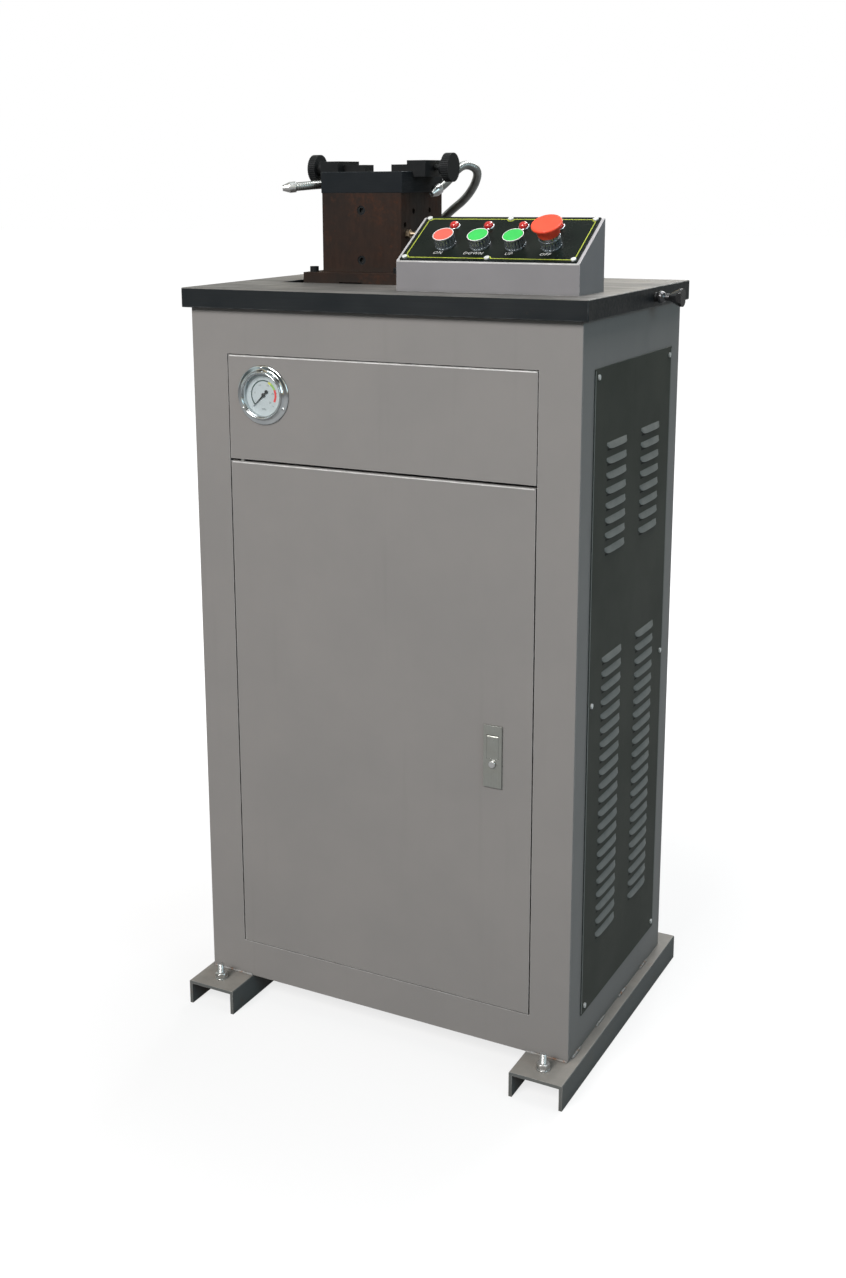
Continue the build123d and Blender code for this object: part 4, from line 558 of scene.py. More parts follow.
# nodes that get another finish than their slot's
ownFinish = {
    "base_channels": "channelPaint", "table_top": "tableSteel", "head_cap": "capSteel",
    "console_housing": "consolePaint", "tap_body": "tapMetal", "tap_handle": "tapMetal",
    "panel_screws": "screwHead", "lock_body": "lockZinc", "lock_handle": "lockZinc",
}
for subpart in frame["record"]["subparts"]:
    finish = finishes[ownFinish.get(subpart["node"], subpart["material_slot"])]
    for place in nodes[subpart["node"]].material_slots:
        place.link = "OBJECT"
        place.material = finish
print("finishes ready:", len(finishes))


# shapes worked out on grids of points
def unit(vector):
    vector = np.asarray(vector, float)
    return vector / np.linalg.norm(vector, axis=-1, keepdims=True)


def shell(grid, wrapRows=False, wrapColumns=False):
    # one quad between each four neighbouring points of a grid, joined round where asked
    rows, columns = grid.shape[:2]
    index = np.arange(rows * columns).reshape(rows, columns)
    if wrapRows:
        index = np.vstack((index, index[:1]))
    if wrapColumns:
        index = np.hstack((index, index[:, :1]))
    faces = np.stack((index[:-1, :-1], index[1:, :-1], index[1:, 1:], index[:-1, 1:]), -1)
    return grid.reshape(-1, 3), faces.reshape(-1, 4)


def makePiece(name, shells, slotName, finish=None, body="machine", sharp=35):
    # all the shells in one mesh, each face counting on from the points before its own shell
    starts = np.cumsum([0] + [len(points) for points, faces in shells[:-1]])
    allPoints = np.concatenate([points for points, faces in shells])
    allFaces = np.concatenate([part[1] + start for part, start in zip(shells, starts)])
    mesh = bpy.data.meshes.new(name)
    mesh.from_pydata(allPoints.tolist(), [], allFaces.tolist())
    return finishPiece(name, mesh, slotName, finish, body, sharp)


def finishPiece(name, mesh, slotName, finish, body, sharp):
    # poles and seams merged, normals outwards, smooth but for sharp corners
    work = bmesh.new()
    work.from_mesh(mesh)
    bmesh.ops.remove_doubles(work, verts=work.verts, dist=2e-6)
    bmesh.ops.recalc_face_normals(work, faces=work.faces)
    work.to_mesh(mesh)
    work.free()
    mesh.polygons.foreach_set("use_smooth", np.ones(len(mesh.polygons), bool))
    mesh.set_sharp_from_angle(angle=radians(sharp))
    mesh.materials.append(finish or finishes[slotName])
    piece = addObject(name, mesh)
    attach(piece, body)
    return piece


def roundCorners(profile, radius, steps=5):
    # each inner corner becomes a small parabola from a point before it to a point after it
    profile = np.array(profile, float)
    rounded = [profile[:1]]
    share = np.linspace(0, 1, steps)[:, None]
    for before, corner, after in zip(profile, profile[1:], profile[2:]):
        into, out = corner - before, after - corner
        reach = min(radius, 0.45 * np.linalg.norm(into), 0.45 * np.linalg.norm(out))
        start, end = corner - unit(into) * reach, corner + unit(out) * reach
        rounded.append((1 - share) ** 2 * start + 2 * share * (1 - share) * corner + share ** 2 * end)
    rounded.append(profile[-1:])
    return np.concatenate(rounded)


def circle(steps):
    return np.linspace(0, 2 * pi, steps, endpoint=False)


def turned(profile, centre, side, up, axis, steps=48, flutes=0, depth=0.0, band=(0.0, 0.0)):
    # a profile of (radius, height) carried round an axis: centre + r (cos a side + sin a up) + h axis;
    # inside the band of heights the radius dips by depth in each of the flutes
    radius, height = np.array(profile, float).T
    angle = circle(steps)[:, None]
    inBand = (height > band[0]) & (height < band[1]) & (radius > radius.max() * 0.98)
    radius = radius - inBand * depth * (0.5 + 0.5 * np.cos(angle * flutes))
    centre, side, up, axis = (np.array(part, float) for part in (centre, side, up, axis))
    around = np.cos(angle)[..., None] * side + np.sin(angle)[..., None] * up
    grid = centre + radius[..., None] * around + height[None, :, None] * axis
    return shell(grid, wrapRows=True)


def ribbon(line, normal, width, height, closed=False):
    # a flat strip along a line of points, mitred at its corners; open ends are closed at their middles
    line = np.array(line, float)
    normal = np.array(normal, float)
    ahead = unit(np.roll(line, -1, 0) - line)
    behind = np.roll(ahead, 1, 0)
    if not closed:
        ahead[-1] = behind[-1]
        behind[0] = ahead[0]
    middle = unit(ahead + behind)
    across = np.cross(normal, middle) / np.sum(middle * ahead, 1)[:, None]
    sides = np.array([-1, -1, 1, 1])[:, None] * width / 2
    lifts = np.array([0, 1, 1, 0])[:, None] * height * normal
    grid = line[:, None] + across[:, None] * sides + lifts
    if not closed:
        first, last = (np.repeat(end.mean(0)[None, None], 4, 1) for end in (grid[0], grid[-1]))
        grid = np.concatenate((first, grid, last))
    return shell(grid, wrapRows=closed, wrapColumns=True)


def tube(line, radii, steps=24, reference=(1, 0, 0)):
    # a round section carried along a line: point + r (cos a side + sin a up), closed at both ends
    line = np.array(line, float)
    tangent = unit(np.gradient(line, axis=0))
    side = unit(np.cross(tangent, np.array(reference, float)))
    up = np.cross(side, tangent)
    angle = circle(steps)[None, :, None]
    around = np.cos(angle) * side[:, None] + np.sin(angle) * up[:, None]
    grid = line[:, None] + around * radii[:, None, None]
    ends = [np.repeat(end[None, None], steps, 1) for end in (line[0], line[-1])]
    return shell(np.concatenate((ends[0], grid, ends[1])), wrapColumns=True)


def meshOf(name, curve):
    # a curve or text made a mesh
    draft = addObject(name, curve)
    mesh = bpy.data.meshes.new_from_object(draft.evaluated_get(bpy.context.evaluated_depsgraph_get()))
    bpy.data.objects.remove(draft)
    return mesh


printing = {"sizeShare": 1.4, "spacing": 1.15, "thickness": 0.00004}


def lettering(name, texts, side, up, finish, slotName, slant=0.0):
    # each text is (words, middle point, letter height); made a mesh, then put in its plane
    normal = np.cross(side, up)
    work = bmesh.new()
    for words, middle, size in texts:
        curve = bpy.data.curves.new(name, "FONT")
        curve.body = words
        curve.size = size * printing["sizeShare"]
        curve.shear = slant
        curve.space_character = printing["spacing"]
        curve.align_x = "CENTER"
        curve.align_y = "CENTER"
        curve.extrude = printing["thickness"]
        curve.resolution_u = 3
        mesh = meshOf(name, curve)
        mesh.transform(Matrix(np.column_stack((side, up, normal, middle)).tolist() + [[0, 0, 0, 1]]))
        work.from_mesh(mesh)
    mesh = bpy.data.meshes.new(name)
    work.to_mesh(mesh)
    work.free()
    return finishPiece(name, mesh, slotName, finish, "machine", 30)


right, back, upward = np.eye(3)
mm = 0.001


def boxOf(node):
    # the lowest and highest corners of a CAD node, in millimetres
    return [np.array(corner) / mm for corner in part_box(node)]


# pressure gauge: chrome case on a flange with three screws, printed dial and pointer
gauge = {
    "flange": 42.5, "bezel": 34.0, "height": 9.0, "glassSeat": 31.5, "dial": 30.0, "dialThickness": 1.0,
    "case": (31.5, 26), "socket": (8, 48),  # radius, and how far it reaches behind the fascia
    "screwRing": 38.6, "screwRadius": 2.3, "screwTurns": (92, 212, 332),
    "scaleRadius": 20.5, "scaleWidth": 1.7, "scaleTurns": (225, 68), "zeroTurn": 225, "fullTurn": -45,
    "tickCount": 26, "minorTick": (1.4, 0.22), "majorTick": (2.6, 0.45),  # length, width
    "bandRadius": 19.6, "bandWidth": 3.4,
    "bands": {  # from and to which turn, and the ink's colour
        "red": ((24, -28), (0.75, 0.05, 0.05)),
        "yellow": ((66, 52), (0.66, 0.68, 0.1)),
        "green": ((52, 24), (0.3, 0.55, 0.12)),
    },
    "numbers": ("0", "5", "10", "15", "20", "25"), "numberRadius": 15.0, "numberSize": 2.5,
    "unit": "MPa", "unitRadius": 20.5, "unitSize": 2.8, "pointer": 24.0, "pointerLift": 1.25, "tail": 9.6,
}
thinInk, thickInk = 0.05 * mm, 0.06 * mm


def onDial(turn, radius, lift):
    # a point so many degrees round the dial from its right, and so far in front of the fascia
    turn = np.radians(np.asarray(turn, float))
    flat = np.multiply.outer(np.cos(turn) * radius, right) + np.multiply.outer(np.sin(turn) * radius, upward)
    return gaugeCentre + (flat - back * lift) * mm


def makeGauge():
    flange, bezel, height = gauge["flange"], gauge["bezel"], gauge["height"]
    seat, dial = gauge["glassSeat"], gauge["dial"]
    (case, caseEnd), (socket, socketEnd) = gauge["case"], gauge["socket"]
    profile = roundCorners([
        (0, -socketEnd), (socket, -socketEnd), (socket, -caseEnd), (case, -caseEnd), (case, -0.2),
        (flange, -0.2), (flange, 1.5), (flange - 1.2, 2.5), (bezel + 2.6, 3.1), (bezel + 0.3, 5.6),
        (bezel - 0.3, height - 0.4), (bezel - 1.4, height), (seat, height - 0.8), (seat, 6), (dial, 6),
        (dial, -2), (0, -2)], 0.9)
    shells = [turned(profile * mm, gaugeCentre, right, upward, -back, 96)]
    screw = gauge["screwRadius"]
    screwProfile = roundCorners([(0, 2.0), (screw, 2.0), (screw, 3.2), (1.2, 3.9), (0, 3.9)], 0.5, 4)
    for turn in gauge["screwTurns"]:
        centre = onDial(turn, gauge["screwRing"], 0)
        shells.append(turned(screwProfile * mm, centre, right, upward, -back, 20))
    bezelPiece = makePiece("gaugeBezel", shells, "chrome", sharp=50)
    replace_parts(bezelPiece, "gauge_case")

    face = dialLift + 0.02
    low, high = gauge["zeroTurn"], gauge["fullTurn"]
    ring = gauge["scaleRadius"]
    arc = onDial(np.linspace(*gauge["scaleTurns"], 60), ring, face)
    ink = [ribbon(arc, -back, gauge["scaleWidth"] * mm, thickInk)]
    for turn in np.linspace(low, high, gauge["tickCount"]):
        major = abs((turn - low) / (high - low) * 5 % 1 - 0.5) > 0.45  # every fifth is longer
        length, width = gauge["majorTick"] if major else gauge["minorTick"]
        tick = onDial(np.array([turn, turn]), np.array([ring, ring + length]), face)
        ink.append(ribbon(tick, -back, width * mm, thinInk))
    makePiece("dialScale", ink, "dial_white", makeFinish("dialInk", (0.02, 0.05, 0.045), rough=0.6))
    for shade, (turns, colour) in gauge["bands"].items():
        line = onDial(np.linspace(*turns, 24), gauge["bandRadius"], face)
        band = ribbon(line, -back, gauge["bandWidth"] * mm, thinInk)
        makePiece("dialBand_" + shade, [band], "dial_white", makeFinish(shade + "Ink", colour, rough=0.6))
    texts = [(number, onDial(turn, gauge["numberRadius"], face), gauge["numberSize"] * mm)
             for number, turn in zip(gauge["numbers"], np.linspace(low, high, len(gauge["numbers"])))]
    texts.append((gauge["unit"], onDial(270, gauge["unitRadius"], face), gauge["unitSize"] * mm))
    lettering("dialNumbers", texts, right, upward, bpy.data.materials["dialInk"], "dial_white")

    # pointer: a tapered blade and a hub; the tail's half width is 2.6 sqrt(1 - s ** 2), a rounded end
    aim = radians(gauge["zeroTurn"])
    along = right * cos(aim) + upward * sin(aim)
    across = np.cross(-back, along)
    blade = np.linspace(-gauge["tail"], gauge["pointer"], 60)
    halfWidth = np.interp(blade, [-9, -4, 0, 4, 24], [1.0, 0.8, 1.0, 0.85, 0.22])
    tail = 2.6 * np.sqrt(np.clip(1 - ((blade + 6.6) / 2.4) ** 2, 0.02, 1)) * (blade < -4.2)
    halfWidth = np.maximum(halfWidth, tail)
    sides = np.array([-1, -1, 1, 1])[:, None] * across
    lifts = np.array([0, 0.5, 0.5, 0])[:, None] * -back
    start = gaugeCentre - back * (dialLift + gauge["pointerLift"]) * mm
    grid = start + (blade[:, None, None] * along + halfWidth[:, None, None] * sides + lifts) * mm
    tip, end = (row.mean(1, keepdims=True).repeat(4, 1) for row in (grid[-1:], grid[:1]))
    bladeShell = shell(np.concatenate((end, grid, tip)), wrapColumns=True)
    hub = roundCorners([(0, 0), (2.9, 0), (2.9, 0.8), (1.6, 1.3), (0, 1.3)], 0.3, 3) * mm
    hubShell = turned(hub, start, right, upward, -back, 24)
    pointer = makePiece("gaugePointer", [bladeShell, hubShell], "needle_black", body="needle")
    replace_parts(pointer, "gauge_needle")


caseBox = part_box("gauge_case")
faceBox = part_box("fascia")
gaugeCentre = np.array([(caseBox[0].x + caseBox[1].x) / 2, faceBox[0].y, (caseBox[0].z + caseBox[1].z) / 2])
dialLift = (faceBox[0].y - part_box("gauge_dial")[1].y) / mm + gauge["dialThickness"]  # the dial's face
makeGauge()
print("gauge made")

# console: printed line and words, fluted chrome sleeves, white rings, lamp collars
console = {
    "frontHeight": 40.8, "plateLift": 1.5, "lineWidth": 1.4, "line": (10.7, 255.3, 6.5, 97.7), "detour": 4.6,
    "lineColour": (0.37, 0.43, 0.04), "columns": (60.6, 111.7, 162.9, 214.0), "row": 35.6, "stemHole": 6.4,
    "sleeveRadius": 14.5, "sleeveBore": 13.5, "sleeveHeight": 17.6, "stopSleeveHeight": 15.1, "flutes": 18,
    "fluteDepth": 0.9, "ringColour": (0.8, 0.8, 0.78), "lampRow": 79.4, "lampShift": -4.6,
    "lampRing": (6.45, 7.8, 1.7), "stopRing": (12.62, 13.15, 9.6, 19.35),  # bore, radius and heights
    "wordRow": 17.6, "wordSize": 5.6, "words": (("ON", 55.0), ("DOWN", 107.5), ("UP", 158.5), ("OFF", 210.5)),
}
plateLift = console["plateLift"]


def onSlope(across, along, lift):
    # a point in millimetres across the slope, up it and out from it
    across, along, lift = np.broadcast_arrays(*(np.asarray(part, float) for part in (across, along, lift)))
    away = across[..., None] * right + along[..., None] * slopeUp + lift[..., None] * slopeOut
    return slopeStart + away * mm


def borderLine():
    # a rectangle with a hollow arc round each screw, the screws at its corners and mid-sides
    x0, x1, y0, y1 = console["line"]
    middle = (x0 + x1) / 2
    reach = console["detour"]
    stops = [(x0, y0, 90, 0), (middle, y0, 180, 0), (x1, y0, 180, 90), (x1, y1, 270, 180),
             (middle, y1, 360, 180), (x0, y1, 360, 270)]
    line = []
    for x, y, first, last in stops:
        turn = np.radians(np.linspace(first, last, 13))
        line.append(np.column_stack((x + reach * np.cos(turn), y + reach * np.sin(turn))))
    line = np.concatenate(line)
    return onSlope(line[:, 0], line[:, 1], plateLift)


def makeConsole():
    line = ribbon(borderLine(), slopeOut, console["lineWidth"] * mm, thickInk, closed=True)
    yellow = makeFinish("lineYellow", console["lineColour"], rough=0.5, bump=0.03)
    makePiece("borderLine", [line], "console_plate", yellow)
    white = makeFinish("printWhite", console["ringColour"], rough=0.5, bump=0.03)
    texts = [(word, onSlope(across, console["wordRow"], plateLift), console["wordSize"] * mm)
             for word, across in console["words"]]
    lettering("consoleWords", texts, right, slopeUp, white, "console_plate", slant=0.25)

    outer, bore, stem = console["sleeveRadius"], console["sleeveBore"], console["stemHole"]
    waist = outer - 0.15
    sleeves, rings = [], []
    for column, kind in zip(console["columns"], ("push", "push", "push", "stop")):
        height = console["sleeveHeight"] if kind == "push" else console["stopSleeveHeight"]
        profile = roundCorners([
            (stem, 0), (outer, 0), (outer, 1.6), (waist, 2.6), (waist, 3.4), (waist, height / 2),
            (waist, height - 3.8), (waist, height - 3), (outer, height - 2), (outer, height), (bore, height),
            (bore, 3), (stem, 3)], 0.3, 4)
        base = onSlope(column, console["row"], plateLift)
        sleeves.append(closedTurn(profile, base, height))
        if kind == "push":
            ring = [(bore + 0.05, height - 0.8), (outer - 0.1, height - 0.8), (outer + 0.05, height - 0.1),
                    (outer - 0.25, height + 0.35), (bore + 0.25, height + 0.35), (bore + 0.05, height)]
            rings.append(closedTurn(ring, base))
    inner, radius, low, high = console["stopRing"]
    stopRing = closedTurn([(inner, low), (radius, low), (radius, high), (inner, high)], base)
    inner, radius, high = console["lampRing"]
    lampProfile = roundCorners([(inner, 0), (radius, 0), (radius, 0.9), (7.2, high), (inner, high)], 0.3, 3)
    lampColumns = np.array(console["columns"]) + console["lampShift"]
    lampPlaces = [onSlope(column, console["lampRow"], plateLift) for column in lampColumns]
    lampRings = [closedTurn(lampProfile, place) for place in lampPlaces]
    sleevePiece = makePiece("buttonSleeves", sleeves, "chrome", finishes["sleeveChrome"], sharp=50)
    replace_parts(sleevePiece, "button_bezels")
    makePiece("buttonRings", rings, "console_plate", white)
    makePiece("stopCollar", [stopRing], "chrome", finishes["darkChrome"], body="stop_push")
    makePiece("lampCollars", lampRings, "chrome", finishes["darkChrome"])


def closedTurn(profile, base, flutedTo=0):
    # a ring section carried round the slope's normal, its last corner joined to its first
    profile = np.vstack((profile, profile[:1])) * mm
    if not flutedTo:
        return turned(profile, base, right, slopeUp, slopeOut)
    band = (3.05 * mm, (flutedTo - 3.4) * mm)
    flutes, depth = console["flutes"], console["fluteDepth"] * mm
    return turned(profile, base, right, slopeUp, slopeOut, 132, flutes, depth, band)


slopeOut = -np.array(joints["pump_press"]["axis"], float)
slopeUp = np.cross(slopeOut, right)
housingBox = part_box("console_housing")
slopeStart = np.array([*housingBox[0].xy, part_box("table_top")[1].z + console["frontHeight"] * mm])
makeConsole()
print("console made")

# coolant hoses: ribbed flexible pipe along the same points as the part's tubes
hoses = {
    "radius": 6.5, "ribPitch": 3.0, "ribDepth": 0.35, "samplesPerRib": 5, "pipeStep": 4,
    "routes": {
        "rightHose": (
            (-95, 163, 1074.5), (-95, 163, 1150), (-84, 164, 1181), (-59, 163, 1203), (-33, 159, 1220),
            (-12, 151, 1243), (-3, 141, 1264), (-17, 124, 1273), (-25, 102, 1260), (-26, 82, 1246),
            (-30, 62, 1237)),
        "leftHose": (
            (-150, 163, 1074.5), (-150, 163, 1150), (-158, 163, 1182), (-172, 158, 1208), (-188, 142, 1230),
            (-196, 112, 1242), (-196, 75, 1245), (-196, 35, 1244.5), (-200, 8, 1244), (-213, -11, 1242.5),
            (-227, -20, 1241)),
    },
    "supply": ((-89, -95, 389), (-89, -95, 650), (-89, -95, 985), (-89, -95, 1020), (-54, -95, 1020),
               (-35, -95, 1020), (0, -95, 1020), (0, -60, 1020), (0, 128, 1020), (0, 163, 1020),
               (-35, 163, 1020), (-80, 163, 1020), (-95, 163, 1020), (-95, 163, 1035), (-95, 163, 1054.5)),
}


def smoothLine(points, name):
    # the points are a spline's control points, and the line is read from the curve itself
    curve = bpy.data.curves.new(name, "CURVE")
    curve.dimensions = "3D"
    curve.resolution_u = 16
    spline = curve.splines.new("NURBS")
    spline.points.add(len(points) - 1)
    for point, place in zip(spline.points, points):
        point.co = (*(part * mm for part in place), 1)
    spline.order_u = 3
    spline.use_endpoint_u = True
    mesh = meshOf(name, curve)
    line = np.empty(len(mesh.vertices) * 3)
    mesh.vertices.foreach_get("co", line)
    bpy.data.meshes.remove(mesh)
    return line.reshape(-1, 3)


def evenly(line, step):
    # the same line, with its points one step of its length apart
    run = np.concatenate(([0], np.cumsum(np.linalg.norm(np.diff(line, axis=0), axis=1))))
    along = np.linspace(0, run[-1], int(run[-1] / step) + 1)
    return np.column_stack([np.interp(along, run, line[:, axis]) for axis in range(3)]), along


def makeHoses():
    radius, pitch = hoses["radius"] * mm, hoses["ribPitch"] * mm
    for name, route in hoses["routes"].items():
        # the radius falls by depth (1 + cos) / 2 of the length in pitches
        line, along = evenly(smoothLine(route, name), pitch / hoses["samplesPerRib"])
        ribs = radius - hoses["ribDepth"] * mm * (0.5 + 0.5 * np.cos(2 * pi * along / pitch))
        print(name, "length", round(float(along[-1]), 4))
        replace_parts(makePiece(name, [tube(line, ribs, 20)], "hose_grey", sharp=80), "coolant_hoses")
    line, along = evenly(smoothLine(hoses["supply"], "supplyPipe"), hoses["pipeStep"] * mm)
    makePiece("supplyPipe", [tube(line, np.full(len(line), radius), 16, (0.3, 0.5, 0.2))], "hose_grey")


makeHoses()
print("hoses made")

# side covers: plates with pressed louvres; under each lower lip a dark strip paints the shade of its opening
covers = {
    "thickness": 1.2, "corner": 2.0, "edge": 0.5, "spread": 137.0, "pitch": 20.6,
    "upperDrop": 257.0, "upperCount": 8, "lowerRise": 98.0, "lowerCount": 21,
    "louvreWidth": 77.0, "louvreHeight": 9.2, "louvreRise": 3.2, "lip": -0.4,
    "slotLength": 72, "slotWidth": 2.6, "slotDrop": 1.0,
}


def slab(low, high, y0, y1, z0, z1, corner, edge):
    # rings of a rounded rectangle, drawn in by edge at the plate's back and front, closed at their middle
    arc = np.radians(np.linspace(0, 90, 7))
    middles = ((y1, z1, 0), (y0, z1, 90), (y0, z0, 180), (y1, z0, 270))
    signs = ((-1, -1), (1, -1), (1, 1), (-1, 1))
    rings = []
    for inset, part in ((edge, 0), (0, 0.3), (0, 0.6), (edge * 0.4, 0.88), (edge, 1)):
        reach = corner - inset
        ring = []
        for (y, z, start), (signY, signZ) in zip(middles, signs):
            turn = arc + radians(start)
            ring.append(np.column_stack((
                np.full(len(arc), low + (high - low) * part),
                y + signY * corner + reach * np.cos(turn), z + signZ * corner + reach * np.sin(turn))))
        rings.append(np.concatenate(ring))
    flat = [ring.mean(0)[None].repeat(len(ring), 0) for ring in (rings[0], rings[-1])]
    return shell(np.array([flat[0], *rings, flat[1]]) * mm, wrapColumns=True)


def hood(face, side, y, z):
    # rise v ** 0.85 sqrt(1 - |u| ** 5): v goes down from the top to the lip, which turns in under the sheet,
    # and u goes across, so both ends fall off in a round
    u = np.linspace(-1, 1, 25)[:, None]
    v = np.array([0, 0.15, 0.32, 0.5, 0.68, 0.84, 0.95, 1.0, 1.0])[None]
    ends = (1 - np.abs(u) ** 5) ** 0.5
    rise = covers["louvreRise"] * v ** 0.85 * ends
    rise[:, -1] = covers["lip"]
    down = covers["louvreHeight"] * (1 - v * (0.45 + 0.55 * ends))
    across = covers["louvreWidth"] / 2 * u + 0 * v
    return shell(np.stack((face + side * rise, y + across, z + down), -1) * mm)


def makeCovers():
    low, high = boxOf("side_covers")
    middleY = (low[1] + high[1]) / 2
    upper = high[2] - covers["upperDrop"] + covers["pitch"] * np.arange(covers["upperCount"])
    lower = low[2] + covers["lowerRise"] + covers["pitch"] * np.arange(covers["lowerCount"])
    half = covers["slotLength"] / 2
    plates, hoods, slotShades = [], [], []
    for side in (-1, 1):
        face = side * (high[0] - covers["louvreRise"])
        inner = face - side * covers["thickness"]
        plates.append(slab(inner, face, low[1], high[1], low[2], high[2], covers["corner"], covers["edge"]))
        for y in (middleY - covers["spread"] / 2, middleY + covers["spread"] / 2):
            for z in (*upper, *lower):
                hoods.append(hood(face, side, y, z))
                # a dark strip just below each lip: painted shade standing in for the opening under the louvre
                line = np.array([[face, y + end * half, z - covers["slotDrop"]] for end in (-1, 1)]) * mm
                slotShades.append(ribbon(line, side * right, covers["slotWidth"] * mm, thinInk))
    platePiece = makePiece("coverPlates", plates, "cabinet_paint", finishes["coverPaint"], sharp=12)
    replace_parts(platePiece, "side_covers")
    # the louvres take the lighter paint as painted light on their upper faces
    makePiece("louvres", hoods, "cabinet_paint", finishes["louvrePaint"], sharp=60)
    makePiece("louvreShade", slotShades, "cabinet_paint", makeFinish("louvreSlotShade", (0.01, 0.011, 0.01), rough=0.8))


makeCovers()
print("covers made")

# levelling bolts through the channels, and the weld beads between channels and cabinet
feet = {
    "rod": 5.0, "thread": 1.5, "threadDepth": 0.45, "rodLow": 19.0, "nut": 8.2, "nutHeight": 8.0,
    "washer": 10.0, "washerBore": 4.6, "washerHeight": 1.8, "inset": 10.0,
    "bead": 1.7, "beadPitch": 3.6, "beadDepth": 0.4, "beadStep": 0.6, "beadOut": 0.9, "beadLift": 0.8,
    "wander": 0.35, "swell": 0.25,  # how far a bead strays, and how much it thickens
    "endReach": 79, "stitch": 34, "stitchPitch": 95, "stitchEnds": (12, 40),
}


def threadedRod(x, y, low, high):
    # radius less depth (1 + cos) / 2 of the height in pitches less the turn, so the groove climbs
    angle = circle(20)[:, None]
    height = np.linspace(low, high, int((high - low) / 0.25))[None]
    groove = 0.5 + 0.5 * np.cos(2 * pi * (height / feet["thread"]) - angle)
    radius = feet["rod"] - feet["threadDepth"] * groove
    radius = np.minimum(radius, 3.9 + np.minimum(height - low, high - height))
    radius[:, [0, -1]] = 0
    grid = np.stack((x + radius * np.cos(angle), y + radius * np.sin(angle), height + 0 * angle), -1)
    return shell(grid * mm, wrapRows=True)


def hexNut(x, y, low, high, turn):
    # the flats of a hexagon, cut by a cone near both faces
    angle = circle(48)[:, None]
    part = np.array([0, 0, 0.05, 0.14, 0.86, 0.95, 1, 1])[None]
    flats = feet["nut"] / np.cos((angle + pi / 6) % (pi / 3) - pi / 6)
    cone = feet["nut"] * (0.98 + 1.3 * np.minimum(part, 1 - part))
    radius = np.minimum(flats, cone)
    radius[:, [0, -1]] = feet["rod"] - 0.6
    grid = np.stack((x + radius * np.cos(angle + turn), y + radius * np.sin(angle + turn),
                     low + (high - low) * part + 0 * angle), -1)
    grid = np.concatenate((grid, grid[:, :1]), 1)
    return shell(grid * mm, wrapRows=True)


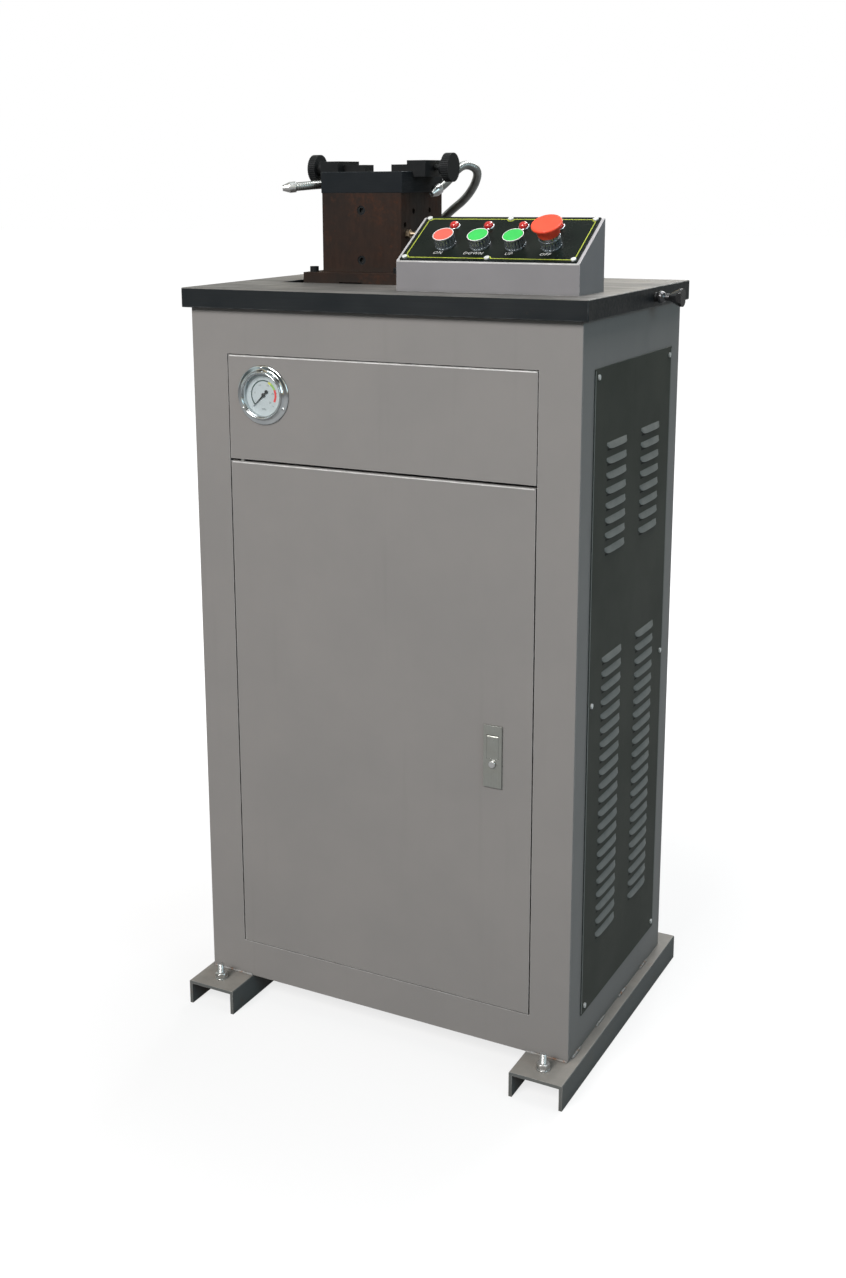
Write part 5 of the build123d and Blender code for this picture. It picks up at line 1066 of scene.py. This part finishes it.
def makeFeet():
    low, high = boxOf("levelling_screws")
    channels, sheets = boxOf("base_channels"), boxOf("side_sheets")
    web = channels[1][2]
    bore, rim, seat = feet["washerBore"], feet["washer"], web + feet["washerHeight"]
    washer = np.array([
        (bore, web), (rim, web), (rim, seat - 0.3), (rim - 0.3, seat), (bore, seat), (bore, web)])
    bolts = []
    for x in (low[0] + feet["inset"], high[0] - feet["inset"]):
        for y in (low[1] + feet["inset"], high[1] - feet["inset"]):
            bolts.append(turned(washer * mm, (x * mm, y * mm, 0), right, back, upward, 36))
            bolts.append(hexNut(x, y, seat, seat + feet["nutHeight"], 0.2 + x))
            bolts.append(threadedRod(x, y, feet["rodLow"], high[2] - 1))
    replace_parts(makePiece("levellingBolts", bolts, "zinc", sharp=40), "levelling_screws")

    chance = np.random.default_rng(7)
    front, rear = boxOf("front_frame")[0][1], boxOf("back_panel")[1][1]
    out, reach, (first, last) = feet["beadOut"], feet["endReach"], feet["stitchEnds"]
    runs = []
    for x0, x1 in ((sheets[0][0] + 1, channels[0][0] + reach), (channels[1][0] - reach, sheets[1][0] - 1)):
        runs += [((x0, y), (x1, y)) for y in (front - out, rear + out)]
    stitches = np.arange(front + first, rear - last, feet["stitchPitch"])
    for x in (sheets[0][0] - out, sheets[1][0] + out):
        runs += [((x, y), (x, y + feet["stitch"])) for y in stitches]
    beads = []
    for (x0, y0), (x1, y1) in runs:
        count = int(np.hypot(x1 - x0, y1 - y0) / feet["beadStep"])
        share = np.linspace(0, 1, count)[:, None]
        height = web + feet["beadLift"]
        line = np.array([x0, y0, height]) * (1 - share) + np.array([x1, y1, height]) * share
        along = share[:, 0] * count * feet["beadStep"]
        wander = np.convolve(chance.normal(0, 1, count), np.ones(9) / 9, "same")
        line[:, 2] += feet["wander"] * wander
        ripple = feet["beadDepth"] * np.abs(np.sin(pi * along / feet["beadPitch"]))
        size = feet["bead"] + ripple + feet["swell"] * wander
        size *= np.minimum(1, 0.35 + np.minimum(along, along[-1] - along) / 5)
        beads.append(tube(line * mm, size * mm, 12, (0, 0, 1)))
    makePiece("weldBeads", beads, "cabinet_paint", finishes["weldRust"], sharp=80)


makeFeet()
print("feet made")

# painted highlights: pale lines along the folded edges of the sheets, where their rounded edges catch the
# light
glint = {
    "width": 1.6, "lift": 0.03, "drop": 1.4, "ends": 2, "consoleDrop": 0.8, "coverInset": 2.2, "coverEnds": 3,
}


def makeEdgeGlints():
    glintFinish = makeFinish(
        "glintPaint", (0.72, 0.715, 0.7), (0.5, 0.495, 0.485), cloud=55.0, rough=0.5, grime=dirtAndShade(0.3, 0.004))
    width, lift = glint["width"] * mm, glint["lift"] * mm
    for node, body in (("fascia", "machine"), ("door_panel", "door")):
        low, high = boxOf(node)
        across = np.linspace(low[0] + glint["ends"], high[0] - glint["ends"], 40)
        line = np.array([[x, low[1], high[2] - glint["drop"]] for x in across])
        makePiece(node + "Edge", [ribbon(line * mm, -back, width, lift)], "cabinet_paint", glintFinish, body=body)
    low, high = boxOf("side_covers")
    faceX = high[0] - covers["louvreRise"]
    along = np.linspace(low[2] + glint["coverEnds"], high[2] - glint["coverEnds"], 40)
    lines = []
    for side in (-1, 1):
        for y in (low[1] + glint["coverInset"], high[1] - glint["coverInset"]):
            line = np.array([[side * faceX, y, z] for z in along])
            lines.append(ribbon(line * mm, side * right, width, lift))
    # painted highlight lines along the upright edges of the covers
    makePiece("coverEdgeGlints", lines, "cabinet_paint", makeFinish("coverGlintPaint", (0.3, 0.31, 0.3), rough=0.5))
    low, high = boxOf("console_housing")
    rise = slopeStart[2] / mm - glint["consoleDrop"]
    line = np.array([[low[0] + 1, low[1], rise], [high[0] - 1, low[1], rise]])
    makePiece("consoleEdge", [ribbon(line * mm, -back, width, lift)], "cabinet_paint", glintFinish)


makeEdgeGlints()
print("rubbed edges made")
